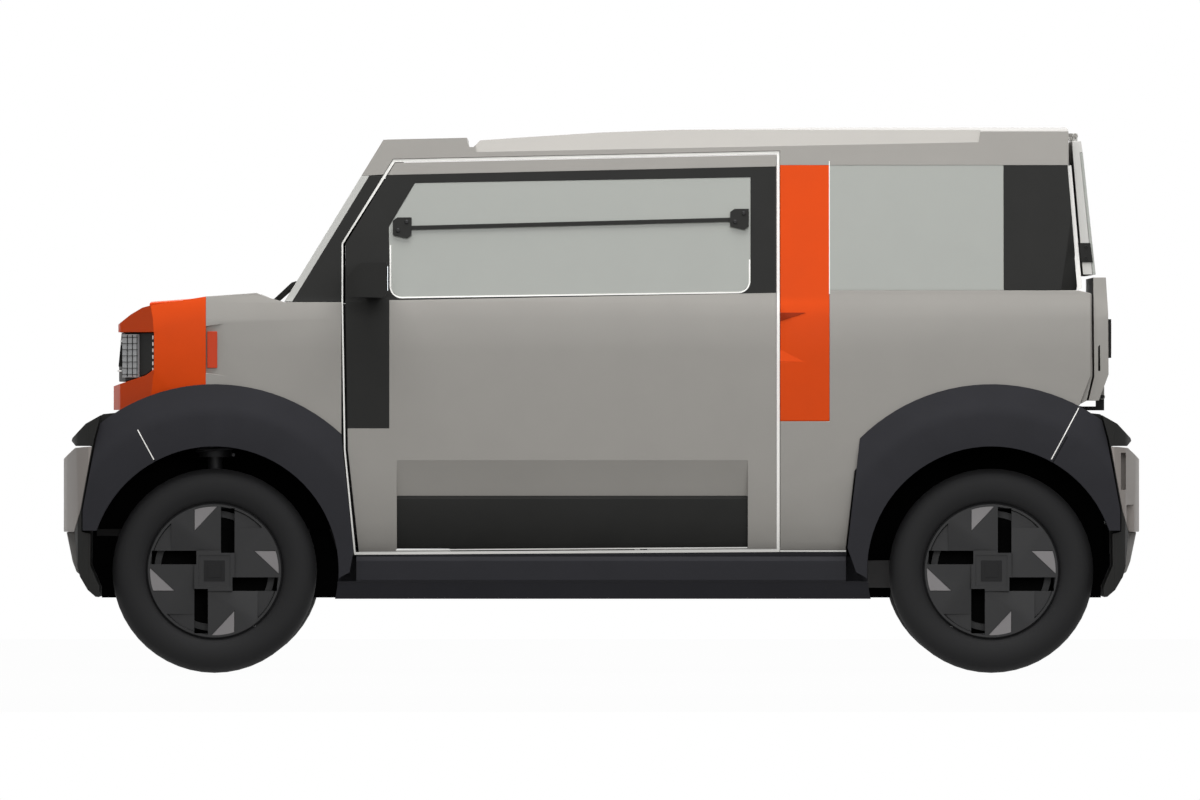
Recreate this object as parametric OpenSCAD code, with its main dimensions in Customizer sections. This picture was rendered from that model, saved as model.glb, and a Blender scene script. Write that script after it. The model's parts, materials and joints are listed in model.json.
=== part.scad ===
// City car: a short, upright three-door body on four small wheels.
// X runs from nose to tail, Y to the car's right, Z up; the tyres stand on Z = 0.

/* [Overall] */
// Distance between the axles
wheelbase = 2160; // [2140:5:2180]
// Width over the arch cladding
overall_w = 1550; // [1540:2:1570]
// Cladding standing out from the doors
flare_out = 36; // [32:1:40]
// Front wheel opening to the front of the bumper
front_reach = 78; // [74:1:84]
// Rear wheel opening to the back of the bumper
rear_reach = 70; // [66:1:76]

/* [Wheels] */
// Height of the tyre wall over the wheel face
tyre_wall = 94; // [90:1:98]
// Width of the tyre
tyre_w = 165; // [155:5:170]
// Edge of the cladding to the outer wall of the tyre
tyre_tuck = 22.5; // [20:0.5:26]
// Radius of the wheel face
rim_r = 190; // [186:1:194]
// Radius of the stub axles
spindle_r = 16; // [14:0.5:18]
// Running clearance on pins and stub axles
run_fit = 0.05; // [0.02:0.01:0.1]
// Half size of the square wheel centre
hub_half = 56; // [52:1:60]

/* [Arches] */
// Tyre to the edge of the wheel opening
arch_gap = 62; // [58:1:66]
// Radial width of the arch cladding
flare_band = 173; // [168:1:176]
// Flat part of the cladding, radially
flare_flat = 82; // [70:1:95]

/* [Doors] */
// Front wheel opening to the door
door_clear = 18; // [16:1:22]
// Door to the rear wheel opening
post_clear = 252; // [246:1:264]
// Shut gap around the door
door_gap = 11; // [10:0.5:13]
// Thickness of the door
door_t = 92; // [80:1:100]
// Radius of the hinge pins
pin_r = 5; // [4:0.5:6]

/* [Panels] */
// Thickness of the body walls
wall = 56; // [48:1:62]
// Thickness of outer skins
skin = 8; // [6:0.5:10]
// Width of the wing beside the bonnet
wing_top = 145; // [139:1:159]
// Width of the coloured pillar strap
strap_w = 137; // [125:1:150]
// Thickness of the glass
glass_t = 5; // [4:0.5:6]

/* [Cabin] */
// Height of the cabin floor
floor_z = 312; // [306:1:316]
// Radius of the steering wheel
wheel_rim_r = 175; // [165:1:185]
// Front seat to the door
seat_gap = 117; // [100:1:147]

/* [Hidden] */
$fn = 96;
tyre_r = rim_r + tyre_wall;
arch_r = tyre_r + arch_gap;
flare_r = arch_r + flare_band;
arch_cut = flare_r - 49;
front_overhang = arch_r + front_reach;
rear_overhang = arch_r + rear_reach;
front_x = (front_overhang - rear_overhang - wheelbase) / 2;
rear_x = front_x + wheelbase;
front_end = front_x - front_overhang;
rear_end = rear_x + rear_overhang;
axle_z = tyre_r;
// The body is drawn over a 284 tyre and rides up with a larger one
lift = 2 * (tyre_r - 284);
hub_z = axle_z - lift;
flare_y = overall_w / 2;
half_w = flare_y - flare_out;
wheel_y = flare_y - tyre_tuck - tyre_w / 2;
bonnet_half = half_w - wing_top;
cabin_half = half_w - 127;
in_y = half_w - 339;
out_y = half_w + 161;
door_front = front_x + arch_r + door_clear;
door_rear = rear_x - arch_r - post_clear;
post_x = door_rear + door_gap;
glass_x = post_x + strap_w;
axle_table = [["front", front_x], ["rear", rear_x]];

// Places measured from the front axle, rear axle, nose, tail and front of the door
function fx(x) = front_x + x;
function rx(x) = rear_x + x;
function nx(x) = front_end + x;
function qx(x) = rear_end - x;
function dx(x) = door_front + x;
cabin_k = (rear_x - door_front) / 1796;

// Inset of the body side from its widest line, by height
side_inset = [[300, 48], [335, 37], [365, 23], [420, 10], [520, 3], [900, 0],
  [985, 4], [1030, 17], [1050, 25], [1450, 99], [1560, 119.4]];
function side(z) = half_w - lookup(z, side_inset);

// Door hinge line
hinge_x = dx(32);
hinge_y = side(850) - 20;
hinge_heights = [735, 905];
barrel_r = pin_r + 3;

// Steering axis, leaning in towards the top
king_low = [wheel_y - 30, axle_z - 116];
king_top = [wheel_y - 122, 782 + lift];
king_lean = atan2(king_low[0] - king_top[0], king_top[1] - king_low[1]);

// Windscreen line in side view
screen_low = [dx(-169), 1034];
screen_top = [dx(105), 1483];
screen_angle = atan2(screen_top[0] - screen_low[0], screen_top[1] - screen_low[1]);
function screen_x(z) = screen_low[0] + (z - screen_low[1]) * tan(screen_angle);

// Roof crown line in side view
roof_front = [dx(116), 1484];
roof_back = [qx(200), 1523];
roof_tilt = atan2(roof_back[1] - roof_front[1], roof_back[0] - roof_front[0]);
function roof_z(x) = roof_front[1] + (x - roof_front[0]) * tan(roof_tilt);
// Top of the roof: a header, a groove across it and the long panel
roof_line = [roof_front, [dx(338), 1489], [dx(341), 1463], [dx(356), 1463], [dx(374), 1482], [dx(485), 1490],
  [dx(708), 1504], [dx(930), 1512], [qx(837), 1521], [qx(726), 1523], roof_back];

// Hinge lines of the lids
hatch_axis = [qx(178), 1496];
gate_axis = [qx(103), 768];
bonnet_axis = [dx(-252), 1030];
lid_hinge = half_w - 359;
hinge_sides = [-lid_hinge, lid_hinge];

// Floors, steering column and tow eyes
floor_t = 24;
boot_z = 470;
column_end = [dx(156), 439 - half_w, 930];
column_angle = 25;
tow_y = flare_y - 355;

// Colours
grey = [0.58, 0.57, 0.55];
orange = [0.86, 0.31, 0.11];
black = [0.19, 0.19, 0.19];
dark = [0.27, 0.27, 0.28];
pane = [0.67, 0.68, 0.66];
steel = [0.5, 0.5, 0.52];

// Building blocks
module pair() {
  children();
  mirror([0, 1, 0]) children();
}
module on_side(s) {
  if (s < 0) mirror([0, 1, 0]) children();
  else children();
}
module raised() {
  translate([0, 0, lift]) children();
}
module lengthwise(x0, x1) {
  translate([x0, 0, 0]) rotate([90, 0, 90]) linear_extrude(x1 - x0) children();
}
module crosswise(y0, y1) {
  translate([0, y1, 0]) rotate([90, 0, 0]) linear_extrude(y1 - y0) children();
}
module across() {
  crosswise(-out_y, out_y) children();
}
module through_side() {
  crosswise(in_y, out_y) children();
}
module upright(z0, z1) {
  translate([0, 0, z0]) linear_extrude(z1 - z0) children();
}
module box(x0, x1, y0, y1, z0, z1) {
  translate([x0, y0, z0]) cube([x1 - x0, y1 - y0, z1 - z0]);
}
module rod(x, z, radius, y0, y1) {
  translate([x, y1, z]) rotate([90, 0, 0]) cylinder(h = y1 - y0, r = radius);
}
module post(x, y, radius, z0, z1) {
  translate([x, y, z0]) cylinder(h = z1 - z0, r = radius);
}
module along_king(z0, z1, radius) {
  translate([front_x, king_low[0], king_low[1]]) rotate([king_lean, 0, 0])
    translate([0, 0, (z0 - king_low[1]) / cos(king_lean)])
      cylinder(h = (z1 - z0) / cos(king_lean), r = radius);
}

// Slice of the body side between two heights and two depths under the outer skin
function cut_heights(z0, z1) = concat([z0], [for (p = side_inset) if (p[0] > z0 && p[0] < z1) p[0]], [z1]);
function band(z0, z1, t0, t1) = let (h = cut_heights(z0, z1), n = len(h))
  concat([for (z = h) [side(z) - t0, z]], [for (i = [n - 1:-1:0]) [side(h[i]) - t1, h[i]]]);
function full_band(z0, z1, t) = let (h = cut_heights(z0, z1), n = len(h))
  concat([for (z = h) [side(z) - t, z]], [for (i = [n - 1:-1:0]) [t - side(h[i]), h[i]]]);
module panel(points, t0, t1) {
  intersection() {
    lengthwise(front_end, rear_end) polygon(band(310, 1545, t0, t1));
    through_side() polygon(points);
  }
}

// Door outlines in side view, grown by g
function door_outline(g) = [
  [dx(37) - g, 338 - g], [dx(7) - g, 620], [dx(0) - g, 1031],
  [dx(0) - g, 1193 + 0.28 * g], [dx(138) - 0.56 * g, 1419 + g],
  [door_rear + g, 1442 + g], [door_rear + g, 346 - g]];
function window_outline(g) = [
  [dx(193) - g, 1363 + g], [door_rear - 71 + g, 1379 + g], [door_rear - 71 + g, 1084],
  [door_rear - 99, 1056 - g], [dx(149), 1041 - g], [dx(124) - g, 1068], [dx(120) - g, 1240]];
surround_outline = [
  [dx(0), 1037], [dx(0), 1193], [dx(117), 1385], [door_rear, 1409], [door_rear, 1057], [dx(149), 1037]];
hinge_cover = [[dx(6), 680], [dx(0), 1031], [dx(0), 1037], [dx(122), 1037], [dx(122), 680]];
hinge_cut = [[dx(-20), 680], [dx(-20), 1037], [dx(122), 1037], [dx(122), 680]];
// The inner shell of the door reaches this far into its skin
shell_lap = 1;
clad_x0 = dx(143);
clad_x1 = door_rear - 79;
module lower_recess() {
  lengthwise(clad_x0, clad_x1)
    polygon([[side(592), 592], [side(493) - 24, 493], [side(345) - 24, 345], [side(330) - 24, 330],
      [half_w + 61, 330], [half_w + 61, 592]]);
}

// Doors
module door(s) {
  on_side(s) color(grey) raised() difference() {
    union() {
      difference() {
        panel(door_outline(0), 0, skin);
        through_side() polygon(surround_outline);
        through_side() polygon(hinge_cut);
      }
      panel([[dx(44), 360], [dx(44), 1030], [door_rear - 22, 1030], [door_rear - 22, 360]],
        skin - shell_lap, door_t);
      panel([[dx(14), 1024], [dx(14), 1189], [dx(146), 1405], [door_rear - 14, 1428], [door_rear - 14, 1024]],
        skin - shell_lap, 45);
      for (z = hinge_heights) for (k = [-1, 1]) {
        post(hinge_x, hinge_y, barrel_r, z + k * 25 - 12, z + k * 25 + 12);
        box(hinge_x, hinge_x + 18, hinge_y - 5, hinge_y + 5, z + k * 25 - 12, z + k * 25 + 12);
      }
    }
    through_side() polygon(window_outline(0));
    lower_recess();
    for (z = hinge_heights) post(hinge_x, hinge_y, pin_r + run_fit, z - 45, z + 45);
  }
}
module door_trim(s) {
  on_side(s) color(black) raised() {
    difference() {
      union() {
        panel(surround_outline, 0, skin - shell_lap);
        intersection() {
          panel(hinge_cover, 0, skin - shell_lap);
          through_side() polygon(door_outline(0));
        }
      }
      through_side() polygon(window_outline(0));
    }
    intersection() {
      lengthwise(clad_x0, clad_x1)
        polygon([[side(484) - 12, 484], [side(420) - 13, 420], [side(365) - 20, 365],
          [side(345) - 23.8, 345], [side(493) - 23.8, 493]]);
      through_side() polygon(door_outline(0));
    }
    door_mirror();
    window_rail();
  }
}
module door_mirror() {
  box(dx(56), dx(100), side(1050) + 0.2, side(1050) + 46, 1050, 1078);
  intersection() {
    crosswise(side(1060) + 26, side(1060) + 150)
      polygon([[dx(4), 1046], [dx(2), 1100], [dx(44), 1141], [dx(116), 1141], [dx(118), 1060],
        [dx(108), 1043]]);
    upright(1000, 1200)
      polygon([[dx(52), side(1060) + 20], [dx(-2), side(1060) + 92], [dx(6), side(1060) + 135],
        [dx(50), side(1060) + 152], [dx(120), side(1060) + 152], [dx(120), side(1060) + 20]]);
  }
}
rail_ends = [[dx(158), 1238], [door_rear - 102, 1262]];
module window_rail() {
  panel([[rail_ends[0][0], 1232], [rail_ends[1][0], 1256], [rail_ends[1][0], 1267], [rail_ends[0][0], 1243]],
    -6, 0.8);
  for (e = rail_ends)
    panel([[e[0] - 26, e[1] - 20], [e[0] - 26, e[1] + 20], [e[0] - 14, e[1] + 29], [e[0] + 26, e[1] + 29],
      [e[0] + 26, e[1] - 20], [e[0] + 14, e[1] - 29]], -9, 0.8);
}
module door_glass(s) {
  on_side(s) color(pane) raised() panel(window_outline(-0.2), 1, 1 + glass_t);
}

// Wheels: a four-way pinwheel cover, drawn for the upper quarter and turned
face_k = rim_r / 190;
slot_shape = [[18, 50], [56, 50], [56, 174], [18, 174]] * face_k;
vane_shape = [[-120, 50], [18, 50], [18, 200], [-120, 200]] * face_k;
tip_shape = [[-56, 110], [-57, 200], [28, 200]] * face_k;
rim_edge = tyre_w / 2 - 12.5;
face = rim_edge - 4;
module wheel(x, s) {
  on_side(s) color(dark) translate([x, wheel_y, axle_z]) rotate([-90, 0, 0]) mirror([0, 1, 0]) difference() {
    union() {
      rotate_extrude() polygon([[rim_r - 40, -rim_edge], [rim_r - 4, -rim_edge], [rim_r - 4, 6 - rim_edge],
        [rim_r - 22, 18 - rim_edge], [rim_r - 22, face - 36], [rim_r - 4, face - 22], [rim_r, face - 6],
        [rim_r - 5, face], [rim_r - 11, face], [rim_r - 14, face - 9], [40, face - 9], [40, face - 26],
        [rim_r - 40, face - 26]]);
      translate([0, 0, -30]) cylinder(h = face + 20, r = 34);
      translate([-hub_half, -hub_half, face - 12]) cube([2 * hub_half, 2 * hub_half, 20]);
      for (k = [0:3]) rotate([0, 0, 90 * k]) vane();
    }
    for (k = [0:3]) rotate([0, 0, 90 * k]) {
      translate([0, 0, face - 46]) linear_extrude(80) polygon(slot_shape);
    }
    translate([12 - hub_half, 12 - hub_half, face + 5]) cube([2 * hub_half - 24, 2 * hub_half - 24, 10]);
    translate([0, 0, -60]) cylinder(h = 90, r = spindle_r + run_fit);
  }
}
module vane() {
  difference() {
    intersection() {
      translate([0, 0, face - 12]) linear_extrude(12) polygon(vane_shape);
      cylinder(h = 200, r = rim_r - 8);
    }
    translate([-121 * face_k, 131 * face_k, face]) rotate([0, 0, -28.7]) rotate([7, 0, 0])
      translate([-60, -200, 0]) cube([320, 200, 30]);
    translate([0, 0, face - 5]) linear_extrude(20) polygon(tip_shape);
  }
}
module tyre(x, s) {
  on_side(s) color([0.12, 0.12, 0.12]) translate([x, wheel_y, axle_z]) rotate([-90, 0, 0])
    rotate_extrude() polygon([[rim_r - 21.7, 20 - rim_edge], [rim_r - 3.7, 6.3 - rim_edge],
      [rim_r + 2, 4 - rim_edge],
      [rim_r + 0.42 * tyre_wall, -tyre_w / 2], [tyre_r - 0.36 * tyre_wall, -tyre_w / 2],
      [tyre_r - 0.09 * tyre_wall, -tyre_w / 2 + 14], [tyre_r, -tyre_w / 2 + 32], [tyre_r, tyre_w / 2 - 32],
      [tyre_r - 0.09 * tyre_wall, tyre_w / 2 - 14], [tyre_r - 0.36 * tyre_wall, tyre_w / 2],
      [rim_r + 0.42 * tyre_wall, tyre_w / 2], [rim_r + 4, face], [rim_r - 3.5, face - 22.5],
      [rim_r - 21.7, face - 36.2]]);
}
module knuckle(s) {
  on_side(s) color(steel) {
    rod(front_x, axle_z, spindle_r, wheel_y - 110, wheel_y + 28);
    rod(front_x, axle_z, 96, wheel_y - 74, wheel_y - 36);
    box(fx(-34), fx(34), wheel_y - 98, wheel_y - 66, axle_z - 88, axle_z + 100);
    along_king(axle_z - 134, axle_z - 72, 14);
    box(fx(-24), fx(24), wheel_y - 96, wheel_y - 30, axle_z - 92, axle_z - 70);
    post(front_x, wheel_y - 104, 20, axle_z + 86, 700 + lift);
    post(front_x, wheel_y - 110, 46, 600 + lift, 720 + lift);
    box(fx(-26), fx(26), wheel_y - 122, wheel_y - 80, axle_z + 82, axle_z + 136);
    along_king(700 + lift, 798 + lift, 18);
  }
}

// Running gear
module front_subframe() {
  color(steel) {
    box(fx(-70), fx(70), 290 - wheel_y, wheel_y - 290, axle_z - 79, axle_z - 34);
    pair() {
      box(fx(-70), fx(70), wheel_y - 340, wheel_y - 270, axle_z - 79, 379.8 + lift);
      difference() {
        upright(axle_z - 128, axle_z - 104) polygon([[fx(-110), wheel_y - 330], [fx(110), wheel_y - 330],
          [fx(30), wheel_y - 150], [fx(26), wheel_y - 10], [fx(-26), wheel_y - 10], [fx(-30), wheel_y - 150]]);
        along_king(axle_z - 164, axle_z - 64, 14 + run_fit);
      }
      for (k = [-1, 1])
        box(fx(k * 80 - 20), fx(k * 80 + 20), wheel_y - 330, wheel_y - 280, axle_z - 128, axle_z - 68);
    }
  }
}
module rear_axle() {
  color(steel) {
    box(rx(-270), rx(-190), 150 - wheel_y, wheel_y - 150, axle_z - 52, axle_z + 16);
    pair() {
      box(rx(-54) - arch_r, rx(40), wheel_y - 180, wheel_y - 125, axle_z - 48, axle_z + 28);
      box(rx(-94) - arch_r, rx(-34) - arch_r, wheel_y - 200, wheel_y - 110, floor_z + lift - 72,
        floor_z + lift - 12.2);
      rod(rear_x, axle_z, 62, wheel_y - 130, wheel_y - 48);
      rod(rear_x, axle_z, rim_r - 52, wheel_y - 84, wheel_y - 36);
      rod(rear_x, axle_z, spindle_r, wheel_y - 70, wheel_y + 28);
      post(rx(-60), wheel_y - 170, 44, axle_z + 16, 468 + lift);
    }
  }
}
module drive_unit() {
  color(steel) {
    rod(front_x, axle_z + 78, 108, 420 - wheel_y, wheel_y - 480);
    box(fx(-100), fx(150), 470 - wheel_y, wheel_y - 510, axle_z + 16, axle_z + 186);
    box(fx(-120), fx(160), wheel_y - 510, wheel_y - 410, axle_z - 33.7, axle_z + 156);
  }
}
module battery_pack() {
  color(dark) raised() difference() {
    box(dx(66), rx(-124) - arch_r, 239 - half_w, half_w - 239, floor_z - 102, floor_z - 12);
    pair() lengthwise(dx(56), rx(-114) - arch_r)
      polygon([[half_w - 299, floor_z - 108], [half_w - 229, floor_z - 108], [half_w - 229, floor_z - 58]]);
  }
}

// Floor, bulkhead and wheelhouses
module floor_pan() {
  color(dark) raised() difference() {
    union() {
      crosswise(-cabin_half, cabin_half) polygon([[dx(-102), 560], [dx(-82), 560],
        [dx(8), floor_z + floor_t / 2], [rx(-58) - arch_r, floor_z + floor_t / 2],
        [rx(-58) - arch_r, floor_z - floor_t / 2],
        [dx(-12), floor_z - floor_t / 2]]);
      box(rx(-82) - arch_r, rx(-58) - arch_r, -cabin_half, cabin_half, floor_z - floor_t / 2, boot_z);
      box(rx(-82) - arch_r, qx(164), 240.2 - wheel_y, wheel_y - 240.2, boot_z - floor_t, boot_z);
      box(qx(188), qx(164), 99 - half_w, half_w - 99, boot_z - 60, 742);
      pair() box(qx(176), qx(90.1), half_w - 439, half_w - 379, 420, 452);
      for (y = hinge_sides) {
        box(qx(176), gate_axis[0] + 6, y - 10, y + 10, 730, 741);
        box(gate_axis[0] - 6, gate_axis[0] + 6, y - 10, y + 10, 732, gate_axis[1]);
        rod(gate_axis[0], gate_axis[1], barrel_r, y - 10, y + 10);
        rod(gate_axis[0], gate_axis[1], pin_r, y - 33, y + 33);
      }
    }
    pair() rod(rear_x, hub_z, arch_r + 20, wheel_y - 250, half_w - 39);
    pair() rod(front_x, hub_z, arch_r + 14, wheel_y - 224, half_w - 39);
  }
}
module bulkhead() {
  color(dark) raised() {
    difference() {
      union() {
        box(dx(-114), dx(-102), 99 - half_w, half_w - 99, 400, 1004);
        box(dx(-260), dx(-102), 1 - bonnet_half, bonnet_half - 1, 1000, 1012);
        box(dx(-166), dx(-102), 143 - half_w, half_w - 143, 1004, 1031.8);
        for (y = hinge_sides) {
          box(bonnet_axis[0] - 6, bonnet_axis[0] + 6, y - 10, y + 10, 1005, bonnet_axis[1]);
          rod(bonnet_axis[0], bonnet_axis[1], barrel_r, y - 10, y + 10);
          rod(bonnet_axis[0], bonnet_axis[1], pin_r, y - 33, y + 33);
        }
        pair() {
          box(nx(92.8), dx(-102), wheel_y - 278, wheel_y - 225, 380, 470);
          box(fx(-50), fx(50), wheel_y - 230, wheel_y - 70, 770, 796);
          box(fx(-90), fx(90), wheel_y - 270, wheel_y - 225, 440, 796);
          box(fx(-140), dx(-102), half_w - 179, half_w - 151, 900, 960);
          box(fx(-60), fx(60), half_w - 179, half_w - 151, 780, 920);
          box(dx(-64), dx(28), half_w - 126, half_w - 56, 324.2, 1018.8);
          box(dx(-114), dx(-60), half_w - 126, half_w - 99, 400, 1018.8);
        }
      }
      pair() translate([0, 0, -lift]) along_king(740 + lift, 830 + lift, 18 + run_fit);
      pair() rod(front_x, hub_z, arch_r + 14, wheel_y - 224, out_y);
    }
    pair() for (z = hinge_heights) {
      box(dx(-30), hinge_x + 5, hinge_y - 46, hinge_y - 38, z - 11, z + 11);
      box(hinge_x - 5, hinge_x + 5, hinge_y - 44, hinge_y, z - 11, z + 11);
      post(hinge_x, hinge_y, barrel_r, z - 11, z + 11);
      post(hinge_x, hinge_y, pin_r, z - 38, z + 38);
    }
  }
}
module liner(x, y0, y1, s) {
  intersection() {
    translate([x, 0, hub_z]) rotate([-90, 0, 0]) rotate_extrude()
      polygon([[arch_r + 6, y0], [arch_r + 12, y0], [arch_r + 12, y1], [arch_r + 6, y1]]);
    crosswise(y0 - 1, y1 + 1) polygon([[x - s * (arch_r - 56), hub_z + 160],
      [x - s * (arch_r + 54), hub_z + 160], [x - s * (arch_r + 54), 800], [x + s * (arch_r + 54), 800],
      [x + s * (arch_r + 54), hub_z + 70], [x + s * (arch_r - 16), hub_z + 70]]);
  }
}
// Splash plates under the inner walls, in side view
front_splash = [[nx(82), 379.8], [nx(80.5), 300], [nx(106.5), 240], [nx(106.5), hub_z - 76],
  [dx(-18), hub_z - 76], [dx(-18), floor_z - 14], [dx(-44), 379.8]];
rear_splash = [[rx(-54) - arch_r, hub_z + 45.8], [rx(-54) - arch_r, hub_z - 76], [rx(-278), hub_z - 76],
  [rx(-278), hub_z + 24], [rx(-182), hub_z + 24], [rx(-182), hub_z - 76], [qx(107), hub_z - 76], [qx(107), 240],
  [qx(82), 300], [qx(82), hub_z + 45.8]];
module wheelhouses() {
  color(black) raised() pair() {
    difference() {
      liner(front_x, wheel_y - 224, flare_y - 85.3, 1);
      translate([0, 0, -lift]) along_king(560 + lift, 740 + lift, 76);
    }
    crosswise(wheel_y - 234, wheel_y - 228) polygon(front_splash);
    intersection() {
      rod(front_x, hub_z, arch_r + 5.7, wheel_y - 224, wheel_y - 218);
      box(fx(0) - arch_r, fx(0) + arch_r, wheel_y - 270, wheel_y - 170, 400, 800);
    }
    liner(rear_x, wheel_y - 234, flare_y - 85.3, -1);
    difference() {
      intersection() {
        rod(rear_x, hub_z, arch_r + 12, wheel_y - 240, wheel_y - 234);
        box(rx(-54) - arch_r, rx(-28) + arch_r, wheel_y - 270, wheel_y - 170, hub_z + 46, 800);
      }
      rod(rear_x, hub_z, 90, wheel_y - 250, wheel_y - 224);
    }
    crosswise(wheel_y - 240, wheel_y - 234) polygon(rear_splash);
  }
}

// Front end
module arch_hole(x, radius) {
  rod(x, hub_z, radius, in_y, out_y);
  box(x - radius, x + radius, in_y, out_y, -100, hub_z);
}
function wing_line(t) = [
  [nx(400), 500], [nx(400), 1047 - t], [dx(-247), 1057 - t], [dx(-218), 1045 - t], [dx(-168), 1031 - t],
  [dx(0) - door_gap, 1031 - t], [dx(0) - door_gap, 500]];
module front_wings() {
  color(grey) raised() pair() difference() {
    intersection() {
      lengthwise(nx(364), dx(36)) polygon(band(480, 1100, 0, 180));
      crosswise(bonnet_half + 6, out_y) polygon(wing_line(0));
    }
    intersection() {
      lengthwise(nx(364), dx(36)) polygon(band(470, 1100, 20, 200));
      through_side() polygon(wing_line(12));
    }
    arch_hole(front_x, arch_cut);
    through_side() polygon(door_outline(door_gap));
    intersection() {
      upright(800, 1000)
        polygon([[nx(394), half_w - 16], [nx(394), half_w + 9], [nx(470), half_w + 9], [nx(470), half_w + 1]]);
      crosswise(in_y, out_y)
        polygon([[nx(390), 836], [nx(390), 962], [nx(480), 976], [nx(480), 822]]);
    }
  }
}
module side_markers() {
  color(orange) raised() pair() upright(848, 950)
    polygon([[nx(404), half_w - 13.6], [nx(404), half_w - 5], [nx(432), half_w - 3], [nx(432), half_w - 7.3]]);
}
function nose_plan(t) = [
  [nx(139) + t, -in_y], [nx(139) + t, in_y], [nx(160) + t, half_w - 139 - 0.4 * t],
  [nx(256) + 0.3 * t, half_w - 1.1 * t], [nx(400), half_w - 1.1 * t], [nx(400), 1.1 * t - half_w],
  [nx(256) + 0.3 * t, 1.1 * t - half_w], [nx(160) + t, 139 + 0.4 * t - half_w]];
function nose_line(t) = [
  [nx(139) + t, 731], [nx(139) + t, 798], [nx(154) + t, 951], [nx(154) + t, 969 - t], [nx(190), 997 - t],
  [nx(223), 1016 - t], [nx(242), 1021 - t], [nx(400), 1047 - t], [nx(400), 731]];
module nose_block(t) {
  intersection() {
    across() polygon(nose_line(t));
    upright(700, 1100) polygon(nose_plan(t));
    lengthwise(nx(104), nx(400)) polygon(full_band(700, 1100, 1.1 * t));
  }
}
lamp_mouth = [[nx(104), 797], [nx(104), 948], [nx(256), 948], [nx(256), 845], [nx(234), 828], [nx(169), 807],
  [nx(138), 797]];
module nose_panel() {
  color(orange) raised() difference() {
    nose_block(0);
    intersection() {
      nose_block(14);
      union() {
        box(nx(104), nx(424), -out_y, out_y, 815, 1100);
        box(nx(184), nx(424), -out_y, out_y, 700, 830);
      }
    }
    box(nx(236), nx(424), -bonnet_half - 6, bonnet_half + 6, 900, 1100);
    across() polygon(lamp_mouth);
    pair() arch_hole(front_x, arch_cut);
    pair() translate([nx(264), half_w, 848]) rotate([0, 19.4, 0]) rotate([-8, 0, 0])
      translate([-3, 0, -120]) cube([150, 60, 120]);
  }
}
lamp_plan = [[nx(166), half_w - 145], [nx(210), half_w - 83], [nx(224), half_w - 93], [nx(182), half_w - 155]];
module grille_panel() {
  color(black) raised() difference() {
    intersection() {
      upright(810, 946) polygon(nose_plan(15));
      across() polygon([[nx(149), 810], [nx(162), 946], [nx(256), 946], [nx(256), 846], [nx(234), 830],
        [nx(174), 810]]);
    }
    upright(700, 1100) polygon(nose_plan(40));
    pair() upright(821.8, 942.2) polygon(lamp_plan);
  }
}
module headlamps() {
  color([0.63, 0.63, 0.63]) raised() pair() upright(822, 942) polygon(lamp_plan);
}

// Bumpers, drawn inwards from the bumper face
ends = [[front_end, 1], [rear_end, -1]];
module at_end(e) {
  translate([e[0], 0, 0]) on_end(e[1]) children();
}
module on_end(s) {
  if (s < 0) mirror([1, 0, 0]) children();
  else children();
}
bumper_line = [
  [26, 645], [28, 653], [66, 693], [114, 720], [154, 724], [154, 706], [124, 690], [118, 629], [90, 453],
  [80, 390], [78, 300], [104, 240], [104, 211], [94, 212], [72, 231], [50, 268], [42, 300], [34, 391.5],
  [52.5, 453], [84.5, 629.5], [79, 631], [38, 631]];
cap_line = [[2, 392], [2, 595], [36, 626], [84, 629], [52, 453], [33.5, 392]];
skid_line = [[10, 391], [27, 309], [38, 280], [48.4, 272.5], [41.5, 300], [33.5, 391]];
bumper_plan = [
  [0, 255 - flare_y], [0, flare_y - 255], [14, flare_y - 135], [44, flare_y - 45], [74, flare_y - 11],
  [110, flare_y - 3], [200, flare_y - 3], [200, 3 - flare_y], [110, 3 - flare_y], [74, 11 - flare_y],
  [44, 45 - flare_y], [14, 135 - flare_y]];
function flare_zone(x, s, reach, g) = [
  [x - s * (reach - 58 + g), 396 - g], [x - s * (reach - 58 + g), 453], [x - s * (reach - 93 + g), 650],
  [x - s * (reach - 134 + g), 800], [x + s * (arch_r - 46), 900], [x, 300]];
module tow_bore(radius, v0, v1) {
  for (e = ends) at_end(e) translate([v0, tow_y, 500]) rotate([0, 90, 0]) cylinder(h = v1 - v0, r = radius);
}
module bumpers() {
  color(black) raised() difference() {
    union() {
      for (e = ends) at_end(e) intersection() {
        across() polygon(bumper_line);
        upright(200, 740) polygon(bumper_plan);
      }
      tow_bore(16, 20, 112);
    }
    pair() crosswise(flare_y - 95, out_y) polygon(flare_zone(front_x, 1, front_overhang, 3));
    pair() crosswise(flare_y - 95, out_y) polygon(flare_zone(rear_x, -1, rear_overhang, 3));
    tow_bore(9, -10, 130);
  }
}
module bumper_caps() {
  color([0.56, 0.54, 0.51]) raised() difference() {
    for (e = ends) at_end(e) intersection() {
      across() polygon(cap_line);
      upright(200, 740) polygon(bumper_plan);
    }
    tow_bore(22, -10, 110);
    pair() {
      box(qx(56), qx(42), flare_y - 90, out_y, 509, 612);
      box(qx(40), qx(7), flare_y - 120, out_y, 380, 467);
    }
  }
}
module skid_plates() {
  color([0.6, 0.6, 0.6]) raised() for (e = ends) at_end(e) intersection() {
    crosswise(215 - flare_y, flare_y - 215) polygon(skid_line);
    upright(200, 740) polygon(bumper_plan);
  }
}

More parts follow.
